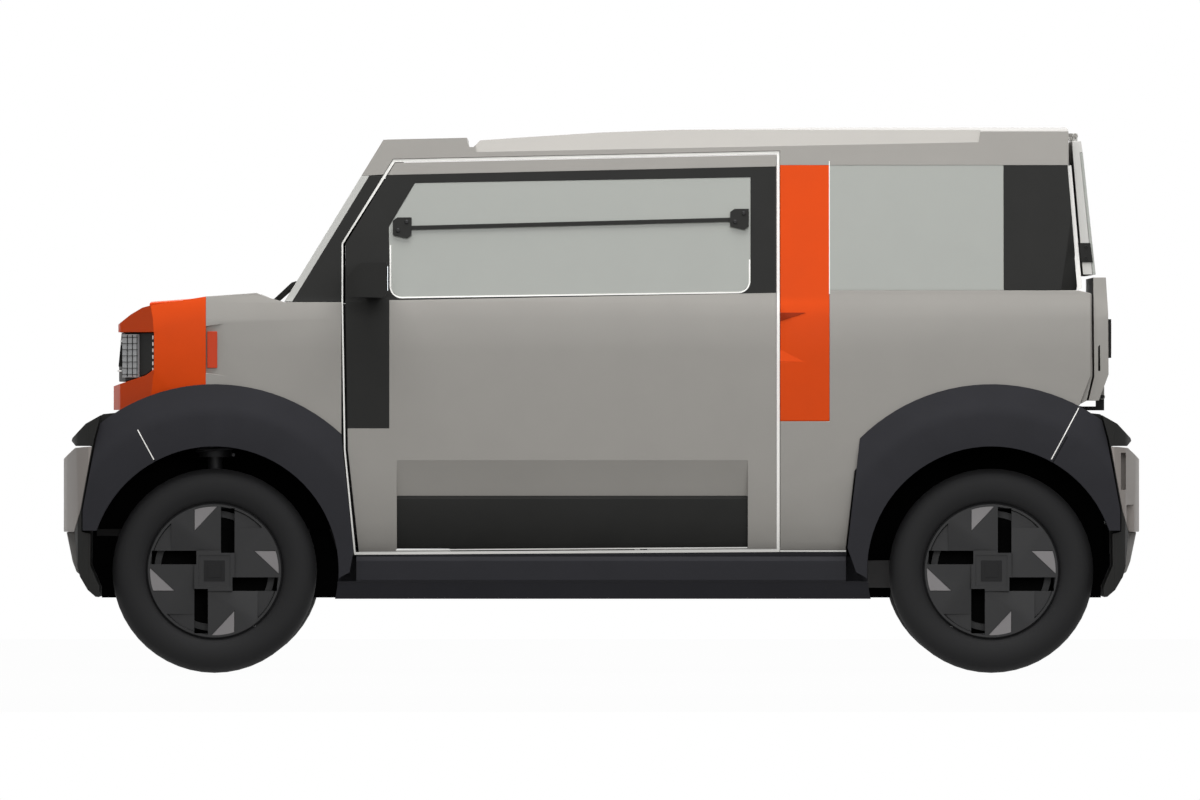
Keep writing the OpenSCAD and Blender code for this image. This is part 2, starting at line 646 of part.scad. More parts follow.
// Arch cladding and sills
front_flare_edge = [
  [fx(-3) + arch_r, 262], [fx(30) + arch_r, 280], [dx(23), 340], [dx(-7), 620], [dx(-14), 700], [dx(-14), 900],
  [nx(134), 900], [nx(134), 800], [nx(95), 650], [nx(58), 453], [nx(58), 396], [fx(46) - arch_r, 396],
  [fx(46) - arch_r, 262]];
rear_flare_edge = [
  [rx(3) - arch_r, 262], [rx(-30) - arch_r, 280], [rx(-54) - arch_r, 348], [rx(-14) - arch_r, 700],
  [rx(-14) - arch_r, 900], [qx(134), 900], [qx(134), 800], [qx(95), 650], [qx(58), 453], [qx(58), 396],
  [rx(-46) + arch_r, 396], [rx(-46) + arch_r, 262]];
module flare(x, points, split) {
  difference() {
    intersection() {
      translate([x, 0, hub_z]) rotate([-90, 0, 0]) rotate_extrude()
        polygon([[arch_r, flare_y - 85], [arch_r, flare_y], [arch_r + flare_flat, flare_y],
          [flare_r, half_w + 5], [flare_r, half_w], [arch_cut - 4, half_w], [arch_cut - 4, flare_y - 85]]);
      crosswise(half_w - 139, out_y) polygon(points);
    }
    box(x - arch_r + 4, x + arch_r - 4, half_w - 139, out_y, -100, hub_z + 20);
    translate([x, flare_y - 4, hub_z]) rotate([0, split, 0])
      translate([-1.6, 0, 0]) cube([3.2, 20, arch_r + flare_flat]);
  }
}
module arch_cladding() {
  color(black) raised() pair() {
    flare(front_x, front_flare_edge, -28.5);
    flare(rear_x, rear_flare_edge, 29.5);
  }
}
module sills() {
  color(black) raised() pair() difference() {
    lengthwise(fx(-16) + arch_r, rx(16) - arch_r)
      polygon([[half_w - 126, 240], [half_w - 99, 206], [half_w - 33, 206], [half_w - 9, 250],
        [half_w + 5, 258], [half_w + 5, 312], [half_w - 5, 324], [half_w - 126, 324]]);
    for (a = axle_table) rod(a[1], hub_z, arch_r - 2, in_y, out_y);
    box(fx(-16) + arch_r, fx(48) + arch_r, half_w - 79, out_y, 255, 400);
    box(rx(-58) - arch_r, rx(16) - arch_r, half_w - 79, out_y, 255, 400);
  }
}

// Screen, roof and pillars
module screen_slab(t0, t1, side_gap, z0, z1) {
  intersection() {
    across() polygon([[screen_x(z0) + t0, z0], [screen_x(z1) + t0, z1], [screen_x(z1) + t1, z1],
      [screen_x(z0) + t1, z0]]);
    lengthwise(dx(-400), dx(600)) polygon(full_band(900, 1540, side_gap));
  }
}
module windscreen_frame() {
  color([0.72, 0.72, 0.7]) raised() difference() {
    screen_slab(0, 22, 0, 1032, 1383.8);
    screen_slab(-30, 60, 44, 1062, 1400);
  }
}
module windscreen() {
  color(pane) raised() screen_slab(2, 2 + glass_t, 44.2, 1062.2, 1383.8);
}
// Each wiper: pivot, inner end and outer end of the blade across the car
wiper_table = [[-200, -620, -110], [150, -90, 400]] * (half_w / 739);
module wipers() {
  color(black) raised() for (w = wiper_table) {
    post(dx(-205), w[0], 12, 1012, 1042);
    crosswise(w[0] - 9, w[0] + 9)
      polygon([[dx(-214), 1032], [dx(-198), 1030], [screen_x(1078) - 6, 1074], [screen_x(1078) - 14, 1086]]);
    crosswise(w[1], w[2])
      polygon([[screen_x(1066) - 14, 1066], [screen_x(1066) - 3, 1066], [screen_x(1090) - 3, 1090],
        [screen_x(1090) - 16, 1086]]);
  }
}
module pillar_panels() {
  color(black) raised() pair() {
    difference() {
      panel([[screen_x(1032) + 22, 1032], [screen_x(1383.8) + 22, 1383.8], [dx(140), 1383.8],
        [dx(40), 1032]], 0, wall);
      through_side() polygon(door_outline(door_gap));
    }
    difference() {
      panel([[qx(381), 1064.2], [qx(381), 1412.8], [qx(203), 1412.8], [qx(174), 1064.2]], 0, wall);
      upright(1000, 1500)
        polygon([[qx(236), out_y], [qx(236), side(1068) + 20], [qx(166), side(1068) - 70], [qx(166), out_y]]);
    }
  }
}
module along_roof() {
  translate([roof_front[0], 0, roof_front[1]]) rotate([0, -roof_tilt, 0])
    lengthwise(-200, rear_end - roof_front[0]) children();
}
module roof() {
  color(grey) raised() {
    for (y = hinge_sides) {
      box(qx(206), hatch_axis[0], y - 10, y + 10, hatch_axis[1] - 3, hatch_axis[1] + 7);
      rod(hatch_axis[0], hatch_axis[1], barrel_r, y - 10, y + 10);
      rod(hatch_axis[0], hatch_axis[1], pin_r, y - 33, y + 33);
    }
    difference() {
      intersection() {
        lengthwise(dx(16), qx(200)) polygon(full_band(1370, 1555, 0));
        across() polygon(concat([[screen_x(1384), 1384], screen_top], roof_line,
          [[qx(200), 1413], [door_rear, 1413], [dx(150), 1390], [dx(66), 1384]]));
        lengthwise(dx(16), qx(200)) polygon([[39 - half_w, 1300], [39 - half_w, roof_back[1] - 24],
          [149 - half_w, roof_back[1] - 12], [-0.4 * half_w, roof_back[1] - 3], [0, roof_back[1]],
          [0.4 * half_w, roof_back[1] - 3], [half_w - 149, roof_back[1] - 12], [half_w - 39, roof_back[1] - 24],
          [half_w - 39, 1300]]);
      }
      intersection() {
        lengthwise(dx(156), qx(236)) polygon(full_band(1300, 1555, wall));
        across() polygon([[dx(156), 1300], [dx(156), roof_z(dx(156)) - 40], [qx(236), roof_z(qx(236)) - 40],
          [qx(236), 1300]]);
      }
      pair() through_side() polygon(door_outline(door_gap));
      pair() intersection() {
        along_roof() polygon([[half_w - 179, 14], [half_w - 79, 60], [half_w - 19, 0], [half_w - 19, -40],
          [half_w - 99, -40], [half_w - 111, -43]]);
        through_side() polygon([[dx(354), 1560], [dx(368), 1380], [qx(466), 1380], [qx(436), 1560]]);
      }
    }
  }
}

// Body sides behind the doors
module quarter_panels() {
  color(grey) raised() pair() difference() {
    panel([[post_x, 342], [post_x, 1064], [qx(174), 1064], [qx(139), 1056], [qx(139), 828], [qx(170), 745],
      [rx(46) - arch_r, 342]], 0, wall);
    intersection() {
      arch_hole(rear_x, arch_cut);
      through_side() polygon([[rx(-58) - arch_r, -100], [rx(-58) - arch_r, 348], [rx(-18) - arch_r, 700],
        [rx(-18) - arch_r, 900], [rear_end, 900], [rear_end, -100]]);
    }
    panel([[post_x - 1, 700], [post_x - 1, 1100], [glass_x, 1100], [glass_x, 700]], -20, 12);
  }
}
module pillar_straps() {
  color(orange) raised() pair() difference() {
    union() {
      panel([[post_x, 700], [post_x, 1100], [glass_x, 1100], [glass_x, 700]], 0, 12);
      panel([[post_x, 1064.2], [post_x, 1412.8], [glass_x, 1412.8], [glass_x, 1064.2]], 0, wall);
    }
    upright(866, 1002)
      polygon([[post_x - 1, half_w - 9], [post_x - 1, half_w + 9], [post_x + 70, half_w + 9],
        [post_x + 70, half_w]]);
  }
}
module quarter_windows() {
  color(pane) raised() pair()
    panel([[glass_x + 0.2, 1064.5], [glass_x + 0.2, 1412.8], [qx(381) - 0.2, 1412.8], [qx(381) - 0.2, 1064.5]],
      1, 1 + glass_t);
}

// Lids
hatch_line = [[qx(190), 1480], [qx(165), 1480], [qx(160), 1448], [qx(125), 1108], [qx(160), 1108],
  [qx(188), 1448]];
module hatch_frame() {
  color(grey) raised() difference() {
    union() {
      difference() {
        intersection() {
          across() polygon(hatch_line);
          lengthwise(qx(266), qx(16)) polygon(full_band(1000, 1540, 30));
        }
        across() polygon([[qx(54), 1448], [qx(168), 1448], [qx(133), 1100], [qx(33), 1100]]);
        intersection() {
          box(qx(316), qx(-84), -out_y, out_y, 1150, 1420);
          lengthwise(qx(266), qx(16)) polygon(full_band(1000, 1540, 90));
        }
      }
      for (y = hinge_sides) for (k = [-1, 1]) {
        rod(hatch_axis[0], hatch_axis[1], barrel_r, y + k * 21 - 10, y + k * 21 + 10);
        box(hatch_axis[0] - 6, hatch_axis[0] + 6, y + k * 21 - 10, y + k * 21 + 10, 1476, hatch_axis[1]);
      }
    }
    for (y = hinge_sides) rod(hatch_axis[0], hatch_axis[1], pin_r + run_fit, y - 40, y + 40);
  }
}
module hatch_glass() {
  color(pane) raised() intersection() {
    across() polygon([[qx(167.7), 1447.5], [qx(160), 1447.5], [qx(125), 1108], [qx(133), 1108]]);
    lengthwise(qx(266), qx(16)) polygon(full_band(1000, 1540, 30));
  }
}
gate_line = [[qx(132), 1100], [qx(97), 1100], [qx(91), 1000], [qx(90), 830], [qx(117), 757], [qx(146), 757],
  [qx(130), 824]];
module tailgate() {
  color(grey) raised() difference() {
    union() {
      difference() {
        intersection() {
          across() polygon(gate_line);
          lengthwise(qx(266), qx(16)) polygon(full_band(700, 1200, 12));
        }
        for (y = hinge_sides) box(qx(166), qx(86), y - 38, y + 38, 740, 792);
      }
      for (y = hinge_sides) for (k = [-1, 1]) {
        rod(gate_axis[0], gate_axis[1], barrel_r, y + k * 21 - 10, y + k * 21 + 10);
        box(gate_axis[0] - 8, gate_axis[0] + 6, y + k * 21 - 10, y + k * 21 + 10, gate_axis[1], 796);
      }
    }
    for (y = hinge_sides) rod(gate_axis[0], gate_axis[1], pin_r + run_fit, y - 40, y + 40);
  }
}
module tail_lamps() {
  color([0.7, 0.1, 0.08]) raised() pair() box(qx(89.8), qx(82), half_w - 179, half_w - 79, 880, 980);
}
module bonnet_block(x0, x1) {
  intersection() {
    translate([dx(-247), 0, 1057]) rotate([0, -4.3, 0]) lengthwise(nx(221) - dx(-247), 10)
      polygon([[-bonnet_half, -14], [-bonnet_half, -5], [-bonnet_half / 2, -1], [0, 0], [bonnet_half / 2, -1],
        [bonnet_half, -5], [bonnet_half, -14]]);
    box(x0, x1, -out_y, out_y, 900, 1100);
  }
}
module bonnet() {
  color(grey) raised() difference() {
    union() {
      bonnet_block(nx(400.2), dx(-248));
      for (y = hinge_sides) for (k = [-1, 1]) {
        rod(bonnet_axis[0], bonnet_axis[1], barrel_r, y + k * 21 - 10, y + k * 21 + 10);
        box(bonnet_axis[0] - 6, bonnet_axis[0] + 2, y + k * 21 - 10, y + k * 21 + 10, bonnet_axis[1], 1046);
      }
    }
    for (y = hinge_sides) rod(bonnet_axis[0], bonnet_axis[1], pin_r + run_fit, y - 40, y + 40);
  }
}
module bonnet_cap() {
  color(orange) raised() bonnet_block(nx(242), nx(400));
}

// Cabin
module dashboard() {
  color(dark) raised() {
    crosswise(183 - half_w, half_w - 183)
      polygon([[dx(-101.5), 760], [dx(-101.5), 1000], [dx(-34), 1000], [dx(56), 960], [dx(66), 900],
        [dx(16), 780], [dx(-64), 740]]);
    translate(column_end) rotate([0, 270 - column_angle, 0]) cylinder(h = 160, r = 26);
  }
}
module steering_wheel() {
  color(black) raised() translate(column_end) rotate([0, 90 - column_angle, 0]) {
    translate([0, 0, 6]) rotate_extrude() translate([wheel_rim_r, 0]) circle(r = 14);
    translate([0, 0, 1]) cylinder(h = 20, r = 50);
    for (a = [0, 120, 240]) rotate([0, 0, a + 90]) translate([30, -14, 0]) cube([wheel_rim_r - 30, 28, 10]);
  }
}
module head_rest(x, y, z) {
  for (k = [-1, 1]) post(x + 38, y + k * 60, 6, z - 30, z + 40);
  crosswise(y - 120, y + 120) polygon([[x + 2, z + 24], [x + 8, z + 170], [x + 58, z + 176], [x + 72, z + 24]]);
}
module seat(x, y0, y1, z, cushion, long, tall, lean, heads) {
  crosswise(y0, y1) polygon([[x, z], [x - 20, z + cushion], [x + long, z + cushion - 20],
    [x + long + lean, z + tall], [x + long + lean + 75, z + tall], [x + long + 100, z]]);
  for (y = heads) head_rest(x + long + lean, y, z + tall);
}
module seats() {
  color([0.35, 0.34, 0.33]) raised() {
    pair() seat(dx(276 * cabin_k), 60, half_w - door_t - seat_gap, floor_z + 12, 150, 460 * cabin_k, 620,
      140 * cabin_k, [(half_w - door_t - seat_gap + 60) / 2]);
    seat(rx(-194) - arch_r, 245 - wheel_y, wheel_y - 245, boot_z, 100, 420, 560, 100, hinge_sides * 0.6);
  }
}

floor_pan();
battery_pack();
drive_unit();
front_subframe();
rear_axle();
bulkhead();
wheelhouses();
front_wings();
nose_panel();
grille_panel();
headlamps();
side_markers();
bumpers();
bumper_caps();
skid_plates();
arch_cladding();
sills();
windscreen_frame();
windscreen();
wipers();
pillar_panels();
roof();
quarter_panels();
pillar_straps();
quarter_windows();
dashboard();
seats();
steering_wheel();
knuckle(-1);  // knuckle_left
knuckle(1);  // knuckle_right
wheel(front_x, -1);  // wheel_front_left
wheel(front_x, 1);  // wheel_front_right
wheel(rear_x, -1);  // wheel_rear_left
wheel(rear_x, 1);  // wheel_rear_right
tyre(front_x, -1);  // tyre_front_left
tyre(front_x, 1);  // tyre_front_right
tyre(rear_x, -1);  // tyre_rear_left
tyre(rear_x, 1);  // tyre_rear_right
door(-1);  // door_left
door(1);  // door_right
door_trim(-1);  // door_trim_left
door_trim(1);  // door_trim_right
door_glass(-1);  // door_glass_left
door_glass(1);  // door_glass_right
hatch_frame();
hatch_glass();
tailgate();
tail_lamps();
bonnet();
bonnet_cap();
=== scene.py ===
"""Looks of the city car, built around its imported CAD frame.

Metres throughout. +X runs to the tail, +Y to the car's right and +Z up, so the photographed side faces -Y.
"""

import json
import math

import bmesh
import bpy
from mathutils import Matrix, Vector


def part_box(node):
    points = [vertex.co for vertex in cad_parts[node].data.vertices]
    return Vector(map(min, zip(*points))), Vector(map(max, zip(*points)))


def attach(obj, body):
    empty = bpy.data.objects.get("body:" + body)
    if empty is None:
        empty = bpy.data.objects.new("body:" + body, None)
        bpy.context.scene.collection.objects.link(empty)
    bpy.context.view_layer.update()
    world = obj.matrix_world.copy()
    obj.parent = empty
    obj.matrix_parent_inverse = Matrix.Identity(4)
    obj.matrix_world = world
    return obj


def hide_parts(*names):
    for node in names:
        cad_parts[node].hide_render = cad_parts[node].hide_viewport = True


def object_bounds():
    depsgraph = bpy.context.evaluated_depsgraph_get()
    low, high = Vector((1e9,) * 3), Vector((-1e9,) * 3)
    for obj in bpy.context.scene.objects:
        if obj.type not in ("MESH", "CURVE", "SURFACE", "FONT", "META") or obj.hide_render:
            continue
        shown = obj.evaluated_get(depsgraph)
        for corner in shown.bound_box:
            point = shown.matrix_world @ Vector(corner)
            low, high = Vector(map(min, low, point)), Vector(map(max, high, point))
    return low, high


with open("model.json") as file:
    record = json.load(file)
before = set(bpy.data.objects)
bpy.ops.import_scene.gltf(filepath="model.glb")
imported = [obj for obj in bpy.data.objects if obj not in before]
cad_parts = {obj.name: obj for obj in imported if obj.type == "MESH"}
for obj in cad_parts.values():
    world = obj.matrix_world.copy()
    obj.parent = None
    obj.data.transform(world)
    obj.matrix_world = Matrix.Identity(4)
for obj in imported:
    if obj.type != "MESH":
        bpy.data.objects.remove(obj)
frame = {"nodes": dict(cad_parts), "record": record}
cad_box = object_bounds()
nodes = frame["nodes"]
MM = 0.001
SIDES = (("left", -1), ("right", 1))


# Places taken from the frame


def middle(node):
    low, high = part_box(node)
    return (low + high) / 2


NOSE_X, TAIL_X = cad_box[0].x, cad_box[1].x
HALF_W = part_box("door_right")[1].y
FLARE_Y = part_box("arch_cladding")[1].y
DOOR_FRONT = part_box("door_trim_right")[0].x
DOOR_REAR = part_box("door_trim_right")[1].x
FRONT_AXLE = middle("tyre_front_left")
REAR_AXLE = middle("tyre_rear_left")
WHEEL_Y = abs(FRONT_AXLE.y)
RIM_R = (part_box("wheel_front_left")[1].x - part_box("wheel_front_left")[0].x) / 2
WHEEL_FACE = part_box("wheel_front_right")[1].y - 8 * MM

# Inset of the body side from its widest line: height, inset
SIDE_INSET = ((0.300, 0.048), (0.335, 0.037), (0.365, 0.023), (0.420, 0.010), (0.520, 0.003), (0.900, 0.0),
              (0.985, 0.004), (1.030, 0.017), (1.050, 0.025), (1.450, 0.099), (1.560, 0.1194))


def side_y(z):
    """Half width of the body side at height z."""
    for (z0, in0), (z1, in1) in zip(SIDE_INSET, SIDE_INSET[1:]):
        if z <= z1:
            return HALF_W - in0 - (in1 - in0) * (z - z0) / (z1 - z0)
    return HALF_W - SIDE_INSET[-1][1]


# Materials


def linear(rgb):
    """Linear colour of an sRGB triple from 0 to 255."""
    return tuple((c / 255 / 12.92) if c <= 10 else ((c / 255 + 0.055) / 1.055) ** 2.4 for c in rgb)


def node(tree, kind, **inputs):
    made = tree.nodes.new("ShaderNode" + kind)
    for key, value in inputs.items():
        made.inputs[key.replace("_", " ")].default_value = value
    return made


def look(name, rgb, rough, tone=0.05, tone_scale=9.0, grain=0.15, grain_scale=900.0, grain_depth=0.0003,
         metallic=0.0, coat=0.0, alpha=1.0, shine=0.5, sheen=0.0, glow=0.0, dust=0.0):
    """Procedural finish: slow tone changes, a fine moulded or sprayed grain and dust towards the ground."""
    made = bpy.data.materials.new(name)
    made.use_nodes = True
    tree = made.node_tree
    shader = tree.nodes["Principled BSDF"]
    colour = linear(rgb)
    for socket, value in (("Metallic", metallic), ("Coat Weight", coat), ("Coat Roughness", 0.1), ("Alpha", alpha),
                          ("Specular IOR Level", shine), ("Sheen Weight", sheen), ("Emission Strength", glow),
                          ("Emission Color", colour + (1,))):
        shader.inputs[socket].default_value = value
    place = tree.nodes.new("ShaderNodeTexCoord")

    slow = node(tree, "TexNoise", Scale=tone_scale, Detail=4.0)
    ramp = tree.nodes.new("ShaderNodeValToRGB")
    for stop, position, factor in zip(ramp.color_ramp.elements, (0.3, 0.7), (1 - tone, 1 + tone)):
        stop.position = position
        stop.color = tuple(min(1, c * factor) for c in colour) + (1,)
    tree.links.new(place.outputs["Object"], slow.inputs["Vector"])
    tree.links.new(slow.outputs["Fac"], ramp.inputs["Fac"])
    painted = ramp.outputs["Color"]
    if dust:
        split = tree.nodes.new("ShaderNodeSeparateXYZ")
        tree.links.new(place.outputs["Object"], split.inputs["Vector"])
        low = node(tree, "MapRange", From_Min=0.55, From_Max=0.05, To_Min=0.0, To_Max=dust)
        tree.links.new(split.outputs["Z"], low.inputs["Value"])
        mix = tree.nodes.new("ShaderNodeMix")
        mix.data_type = "RGBA"
        mix.inputs["B"].default_value = linear((120, 112, 100)) + (1,)
        tree.links.new(low.outputs["Result"], mix.inputs["Factor"])
        tree.links.new(painted, mix.inputs["A"])
        painted = mix.outputs["Result"]
    tree.links.new(painted, shader.inputs["Base Color"])

    spread = node(tree, "MapRange", To_Min=max(0.02, rough - 0.06), To_Max=min(1.0, rough + 0.06))
    tree.links.new(slow.outputs["Fac"], spread.inputs["Value"])
    tree.links.new(spread.outputs["Result"], shader.inputs["Roughness"])
    if grain:
        fine = node(tree, "TexNoise", Scale=grain_scale, Detail=2.0)
        bump = node(tree, "Bump", Strength=grain, Distance=grain_depth)
        tree.links.new(place.outputs["Object"], fine.inputs["Vector"])
        tree.links.new(fine.outputs["Fac"], bump.inputs["Height"])
        tree.links.new(bump.outputs["Normal"], shader.inputs["Normal"])
    return made


def woven(name, rgb, pitch):
    """Woven cloth: two crossed waves for the yarn, with a soft sheen."""
    made = look(name, rgb, 0.85, tone=0.1, tone_scale=30, grain=0.0, sheen=0.3, shine=0.2)
    tree = made.node_tree
    place = tree.nodes.new("ShaderNodeTexCoord")
    weave = tree.nodes.new("ShaderNodeMath")
    weave.operation = "ADD"
    for index, direction in enumerate(("X", "Y")):
        wave = node(tree, "TexWave", Scale=pitch, Distortion=0.6, Detail=1.0)
        wave.bands_direction = direction
        tree.links.new(place.outputs["Object"], wave.inputs["Vector"])
        tree.links.new(wave.outputs["Fac"], weave.inputs[index])
    bump = node(tree, "Bump", Strength=0.5, Distance=0.0008)
    tree.links.new(weave.outputs["Value"], bump.inputs["Height"])
    tree.links.new(bump.outputs["Normal"], tree.nodes["Principled BSDF"].inputs["Normal"])
    return made


MATT = {"shine": 0.12, "grain": 0.35, "grain_scale": 1200}
LOOKS = {
    "body_grey": look("grey_paint", (156, 153, 148), 0.5, tone=0.02, shine=0.3, coat=0.05),
    "orange": look("orange_paint", (224, 74, 8), 0.5, tone=0.025, shine=0.12),
    "marker_orange": look("marker_lens", (206, 66, 30), 0.3, tone=0.04, shine=0.2),
    "black_trim": look("moulded_black", (40, 40, 39), 0.6, tone=0.08, **MATT),
    "cladding": look("grained_cladding", (43, 43, 47), 0.65, tone=0.08, **MATT),
    "bumper_grey": look("bumper_grey", (150, 143, 138), 0.5, tone=0.03, grain=0.25, grain_scale=1200),
    "skid_grey": look("skid_grey", (160, 158, 155), 0.48, tone=0.05, grain=0.3, dust=0.08),
    "frame_grey": look("frame_grey", (186, 186, 182), 0.4, tone=0.03),
    "glass": look("tinted_glass", (159, 162, 156), 0.08, tone=0.015, grain=0.05, grain_scale=40, alpha=0.93,
                  shine=0.4),
    "lens": look("lamp_lens", (176, 178, 180), 0.12, tone=0.06, coat=0.5),
    "lens_red": look("tail_lens", (150, 20, 16), 0.15, tone=0.08, coat=0.5),
    "wheel_dark": look("wheel_cover", (36, 36, 37), 0.45, tone=0.1, grain=0.2, shine=0.25),
    "tyre": look("tyre_rubber", (27, 27, 28), 0.72, tone=0.12, grain=0.35, grain_scale=600, shine=0.25),
    "underbody": look("underbody_paint", (36, 36, 37), 0.65, tone=0.12, dust=0.1, shine=0.2),
    "battery": look("battery_case", (34, 35, 37), 0.55, tone=0.1, dust=0.08, shine=0.25),
    "alloy": look("cast_alloy", (118, 118, 120), 0.5, tone=0.1, metallic=0.7, grain=0.4, grain_scale=500),
    "chassis_steel": look("chassis_paint", (48, 48, 50), 0.5, tone=0.12, metallic=0.2, dust=0.1, shine=0.3),
    "liner": look("wheel_liner", (9, 9, 9), 0.95, tone=0.25, grain=0.5, grain_scale=500, shine=0.05),
    "dash": look("dash_plastic", (40, 40, 41), 0.7, tone=0.06, grain=0.5, grain_scale=800, shine=0.25),
    "seat_cloth": woven("seat_weave", (92, 90, 87), 160),
}
# Pale strips for seals, joint and edge lines, with a painted glow so that they stay white where they lie in shade
GLOWING_SEAL = look("pale_seal_painted_glow", (232, 231, 227), 0.7, tone=0.02, shine=0.2, glow=0.25)
TIP = look("wheel_tip", (126, 123, 124), 0.45, tone=0.04)
LED = look("light_strip", (244, 244, 242), 0.3, tone=0.01, glow=0.15)
# Paler copy of the body's grey for the hatch frame: painted light on its side
HATCH_LIT_GREY = look("hatch_painted_light", (204, 203, 199), 0.5, tone=0.02, shine=0.3)
# Darker copy of the orange paint: painted shade for the tops of the hand recesses
PAINTED_SHADE_ORANGE = look("painted_shade_orange", (150, 44, 8), 0.55, tone=0.05, shine=0.1)
HUB = look("hub_cover", (24, 24, 25), 0.5, tone=0.1, grain=0.2, shine=0.15)
SCREW = look("black_screw", (26, 26, 27), 0.4, tone=0.1, metallic=0.5)
MIRROR = look("mirror_glass", (190, 195, 198), 0.05, tone=0.01, metallic=1.0, grain=0.03, grain_scale=60)
SCREEN = look("dark_screen", (14, 15, 17), 0.12, tone=0.2, coat=0.4, grain=0.03)
COIL = look("spring_coat", (58, 58, 60), 0.4, tone=0.1, metallic=0.4)


# Building pieces


def place_piece(data, name, material, body):
    made = bpy.data.objects.new(name, data)
    bpy.context.scene.collection.objects.link(made)
    data.materials.clear()
    data.materials.append(material)
    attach(made, body)
    return made


def finish_piece(mesh, name, material, body, bevel=1.0 * MM, smooth=35):
    """Object from a bmesh, with outward normals, softened edges, a finish and the body it rides on."""
    bmesh.ops.remove_doubles(mesh, verts=mesh.verts, dist=0.00001)
    bmesh.ops.recalc_face_normals(mesh, faces=mesh.faces)
    data = bpy.data.meshes.new(name)
    mesh.to_mesh(data)
    mesh.free()
    data.shade_smooth()
    data.set_sharp_from_angle(angle=math.radians(smooth))
    made = place_piece(data, name, material, body)
    if bevel:
        edge = made.modifiers.new("edge", "BEVEL")
        edge.limit_method, edge.angle_limit = "ANGLE", math.radians(30)
        edge.width, edge.segments = bevel, 2
        made.modifiers.new("normals", "WEIGHTED_NORMAL").keep_sharp = True
    return made


def add_prism(mesh, near, far):
    """Closed prism between two rings of points."""
    rings = [[mesh.verts.new(p) for p in ring] for ring in (near, far)]
    count = len(near)
    mesh.faces.new(rings[0])
    mesh.faces.new(list(reversed(rings[1])))
    for i in range(count):
        j = (i + 1) % count
        mesh.faces.new((rings[0][j], rings[0][i], rings[1][i], rings[1][j]))


def add_side_plate(mesh, outline, s, depth0, depth1):
    """Prism from a side-view outline (x, z), following the body side between two depths under its skin."""
    add_prism(mesh, [(x, s * (side_y(z) - depth0), z) for x, z in outline],
              [(x, s * (side_y(z) - depth1), z) for x, z in outline])


def add_crosswise(mesh, outline, y0, y1):
    """Prism from a side-view outline (x, z) between two places across the car."""
    add_prism(mesh, [(x, y0, z) for x, z in outline], [(x, y1, z) for x, z in outline])


def add_box(mesh, low, high):
    (x0, y0, z0), (x1, y1, z1) = low, high
    add_crosswise(mesh, [(x0, z0), (x1, z0), (x1, z1), (x0, z1)], y0, y1)


def add_lathe(mesh, profile, centre, axis, steps, closed=False):
    """Turned form: profile is (radius, distance along the axis)."""
    turn = Vector((0, 0, 1)).rotation_difference(Vector(axis)).to_matrix()
    rings = []
    for i in range(steps):
        a = 2 * math.pi * i / steps
        rings.append([mesh.verts.new(Vector(centre) + turn @ Vector((r * math.cos(a), r * math.sin(a), w)))
                      for r, w in profile])
    spans = len(profile) if closed else len(profile) - 1
    for i in range(steps):
        a, b = rings[i], rings[(i + 1) % steps]
        for k in range(spans):
            n = (k + 1) % len(profile)
            mesh.faces.new((a[k], b[k], b[n], a[n]))
    if not closed:
        for k in (0, len(profile) - 1):
            mesh.faces.new([ring[k] for ring in rings])
    return rings


def add_screw(mesh, place, axis, radius, height):
    """Domed screw head with a socket."""
    add_lathe(mesh, ((radius, 0), (radius, 0.55 * height), (0.8 * radius, 0.9 * height), (0.55 * radius, height),
                     (0.5 * radius, 0.45 * height)), place, axis, 12)


def add_tube(mesh, points, radius, steps=8, closed=False):
    """Round bar along a line of points."""
    points = [Vector(p) for p in points]
    count = len(points)
    rings = []
    for i, p in enumerate(points):
        if closed:
            along = points[(i + 1) % count] - points[i - 1]
        else:
            along = points[min(i + 1, count - 1)] - points[max(i - 1, 0)]
        turn = along.normalized().to_track_quat("Z", "Y").to_matrix()
        rings.append([mesh.verts.new(p + turn @ Vector((radius * math.cos(2 * math.pi * k / steps),
                                                        radius * math.sin(2 * math.pi * k / steps), 0)))
                      for k in range(steps)])
    for a, b in zip(rings, rings[1:] + (rings[:1] if closed else [])):
        for k in range(steps):
            n = (k + 1) % steps
            mesh.faces.new((a[k], a[n], b[n], b[k]))
    if not closed:
        mesh.faces.new(rings[0])
        mesh.faces.new(list(reversed(rings[-1])))


def add_strip(mesh, near, far, s, depth, thick, closed=True, step=0.03):
    """Flat strip between two matching side-view lines, laid at a depth under the body side."""
    pairs = []
    count = len(near)
    for i in range(count if closed else count - 1):
        a0, a1 = Vector(near[i]), Vector(near[(i + 1) % count])
        b0, b1 = Vector(far[i]), Vector(far[(i + 1) % count])
        cuts = max(1, round((a1 - a0).length / step))
        pairs += [(a0.lerp(a1, k / cuts), b0.lerp(b1, k / cuts)) for k in range(cuts)]
    if not closed:
        pairs.append((Vector(near[-1]), Vector(far[-1])))
    rings = [[mesh.verts.new((p.x, s * (side_y(p.y) - d), p.y))
              for p, d in ((a, depth), (b, depth), (b, depth + thick), (a, depth + thick))] for a, b in pairs]
    for now, after in zip(rings, rings[1:] + (rings[:1] if closed else [])):
        for k in range(4):
            n = (k + 1) % 4
            mesh.faces.new((now[k], now[n], after[n], after[k]))
    if not closed:
        mesh.faces.new(rings[0])
        mesh.faces.new(list(reversed(rings[-1])))


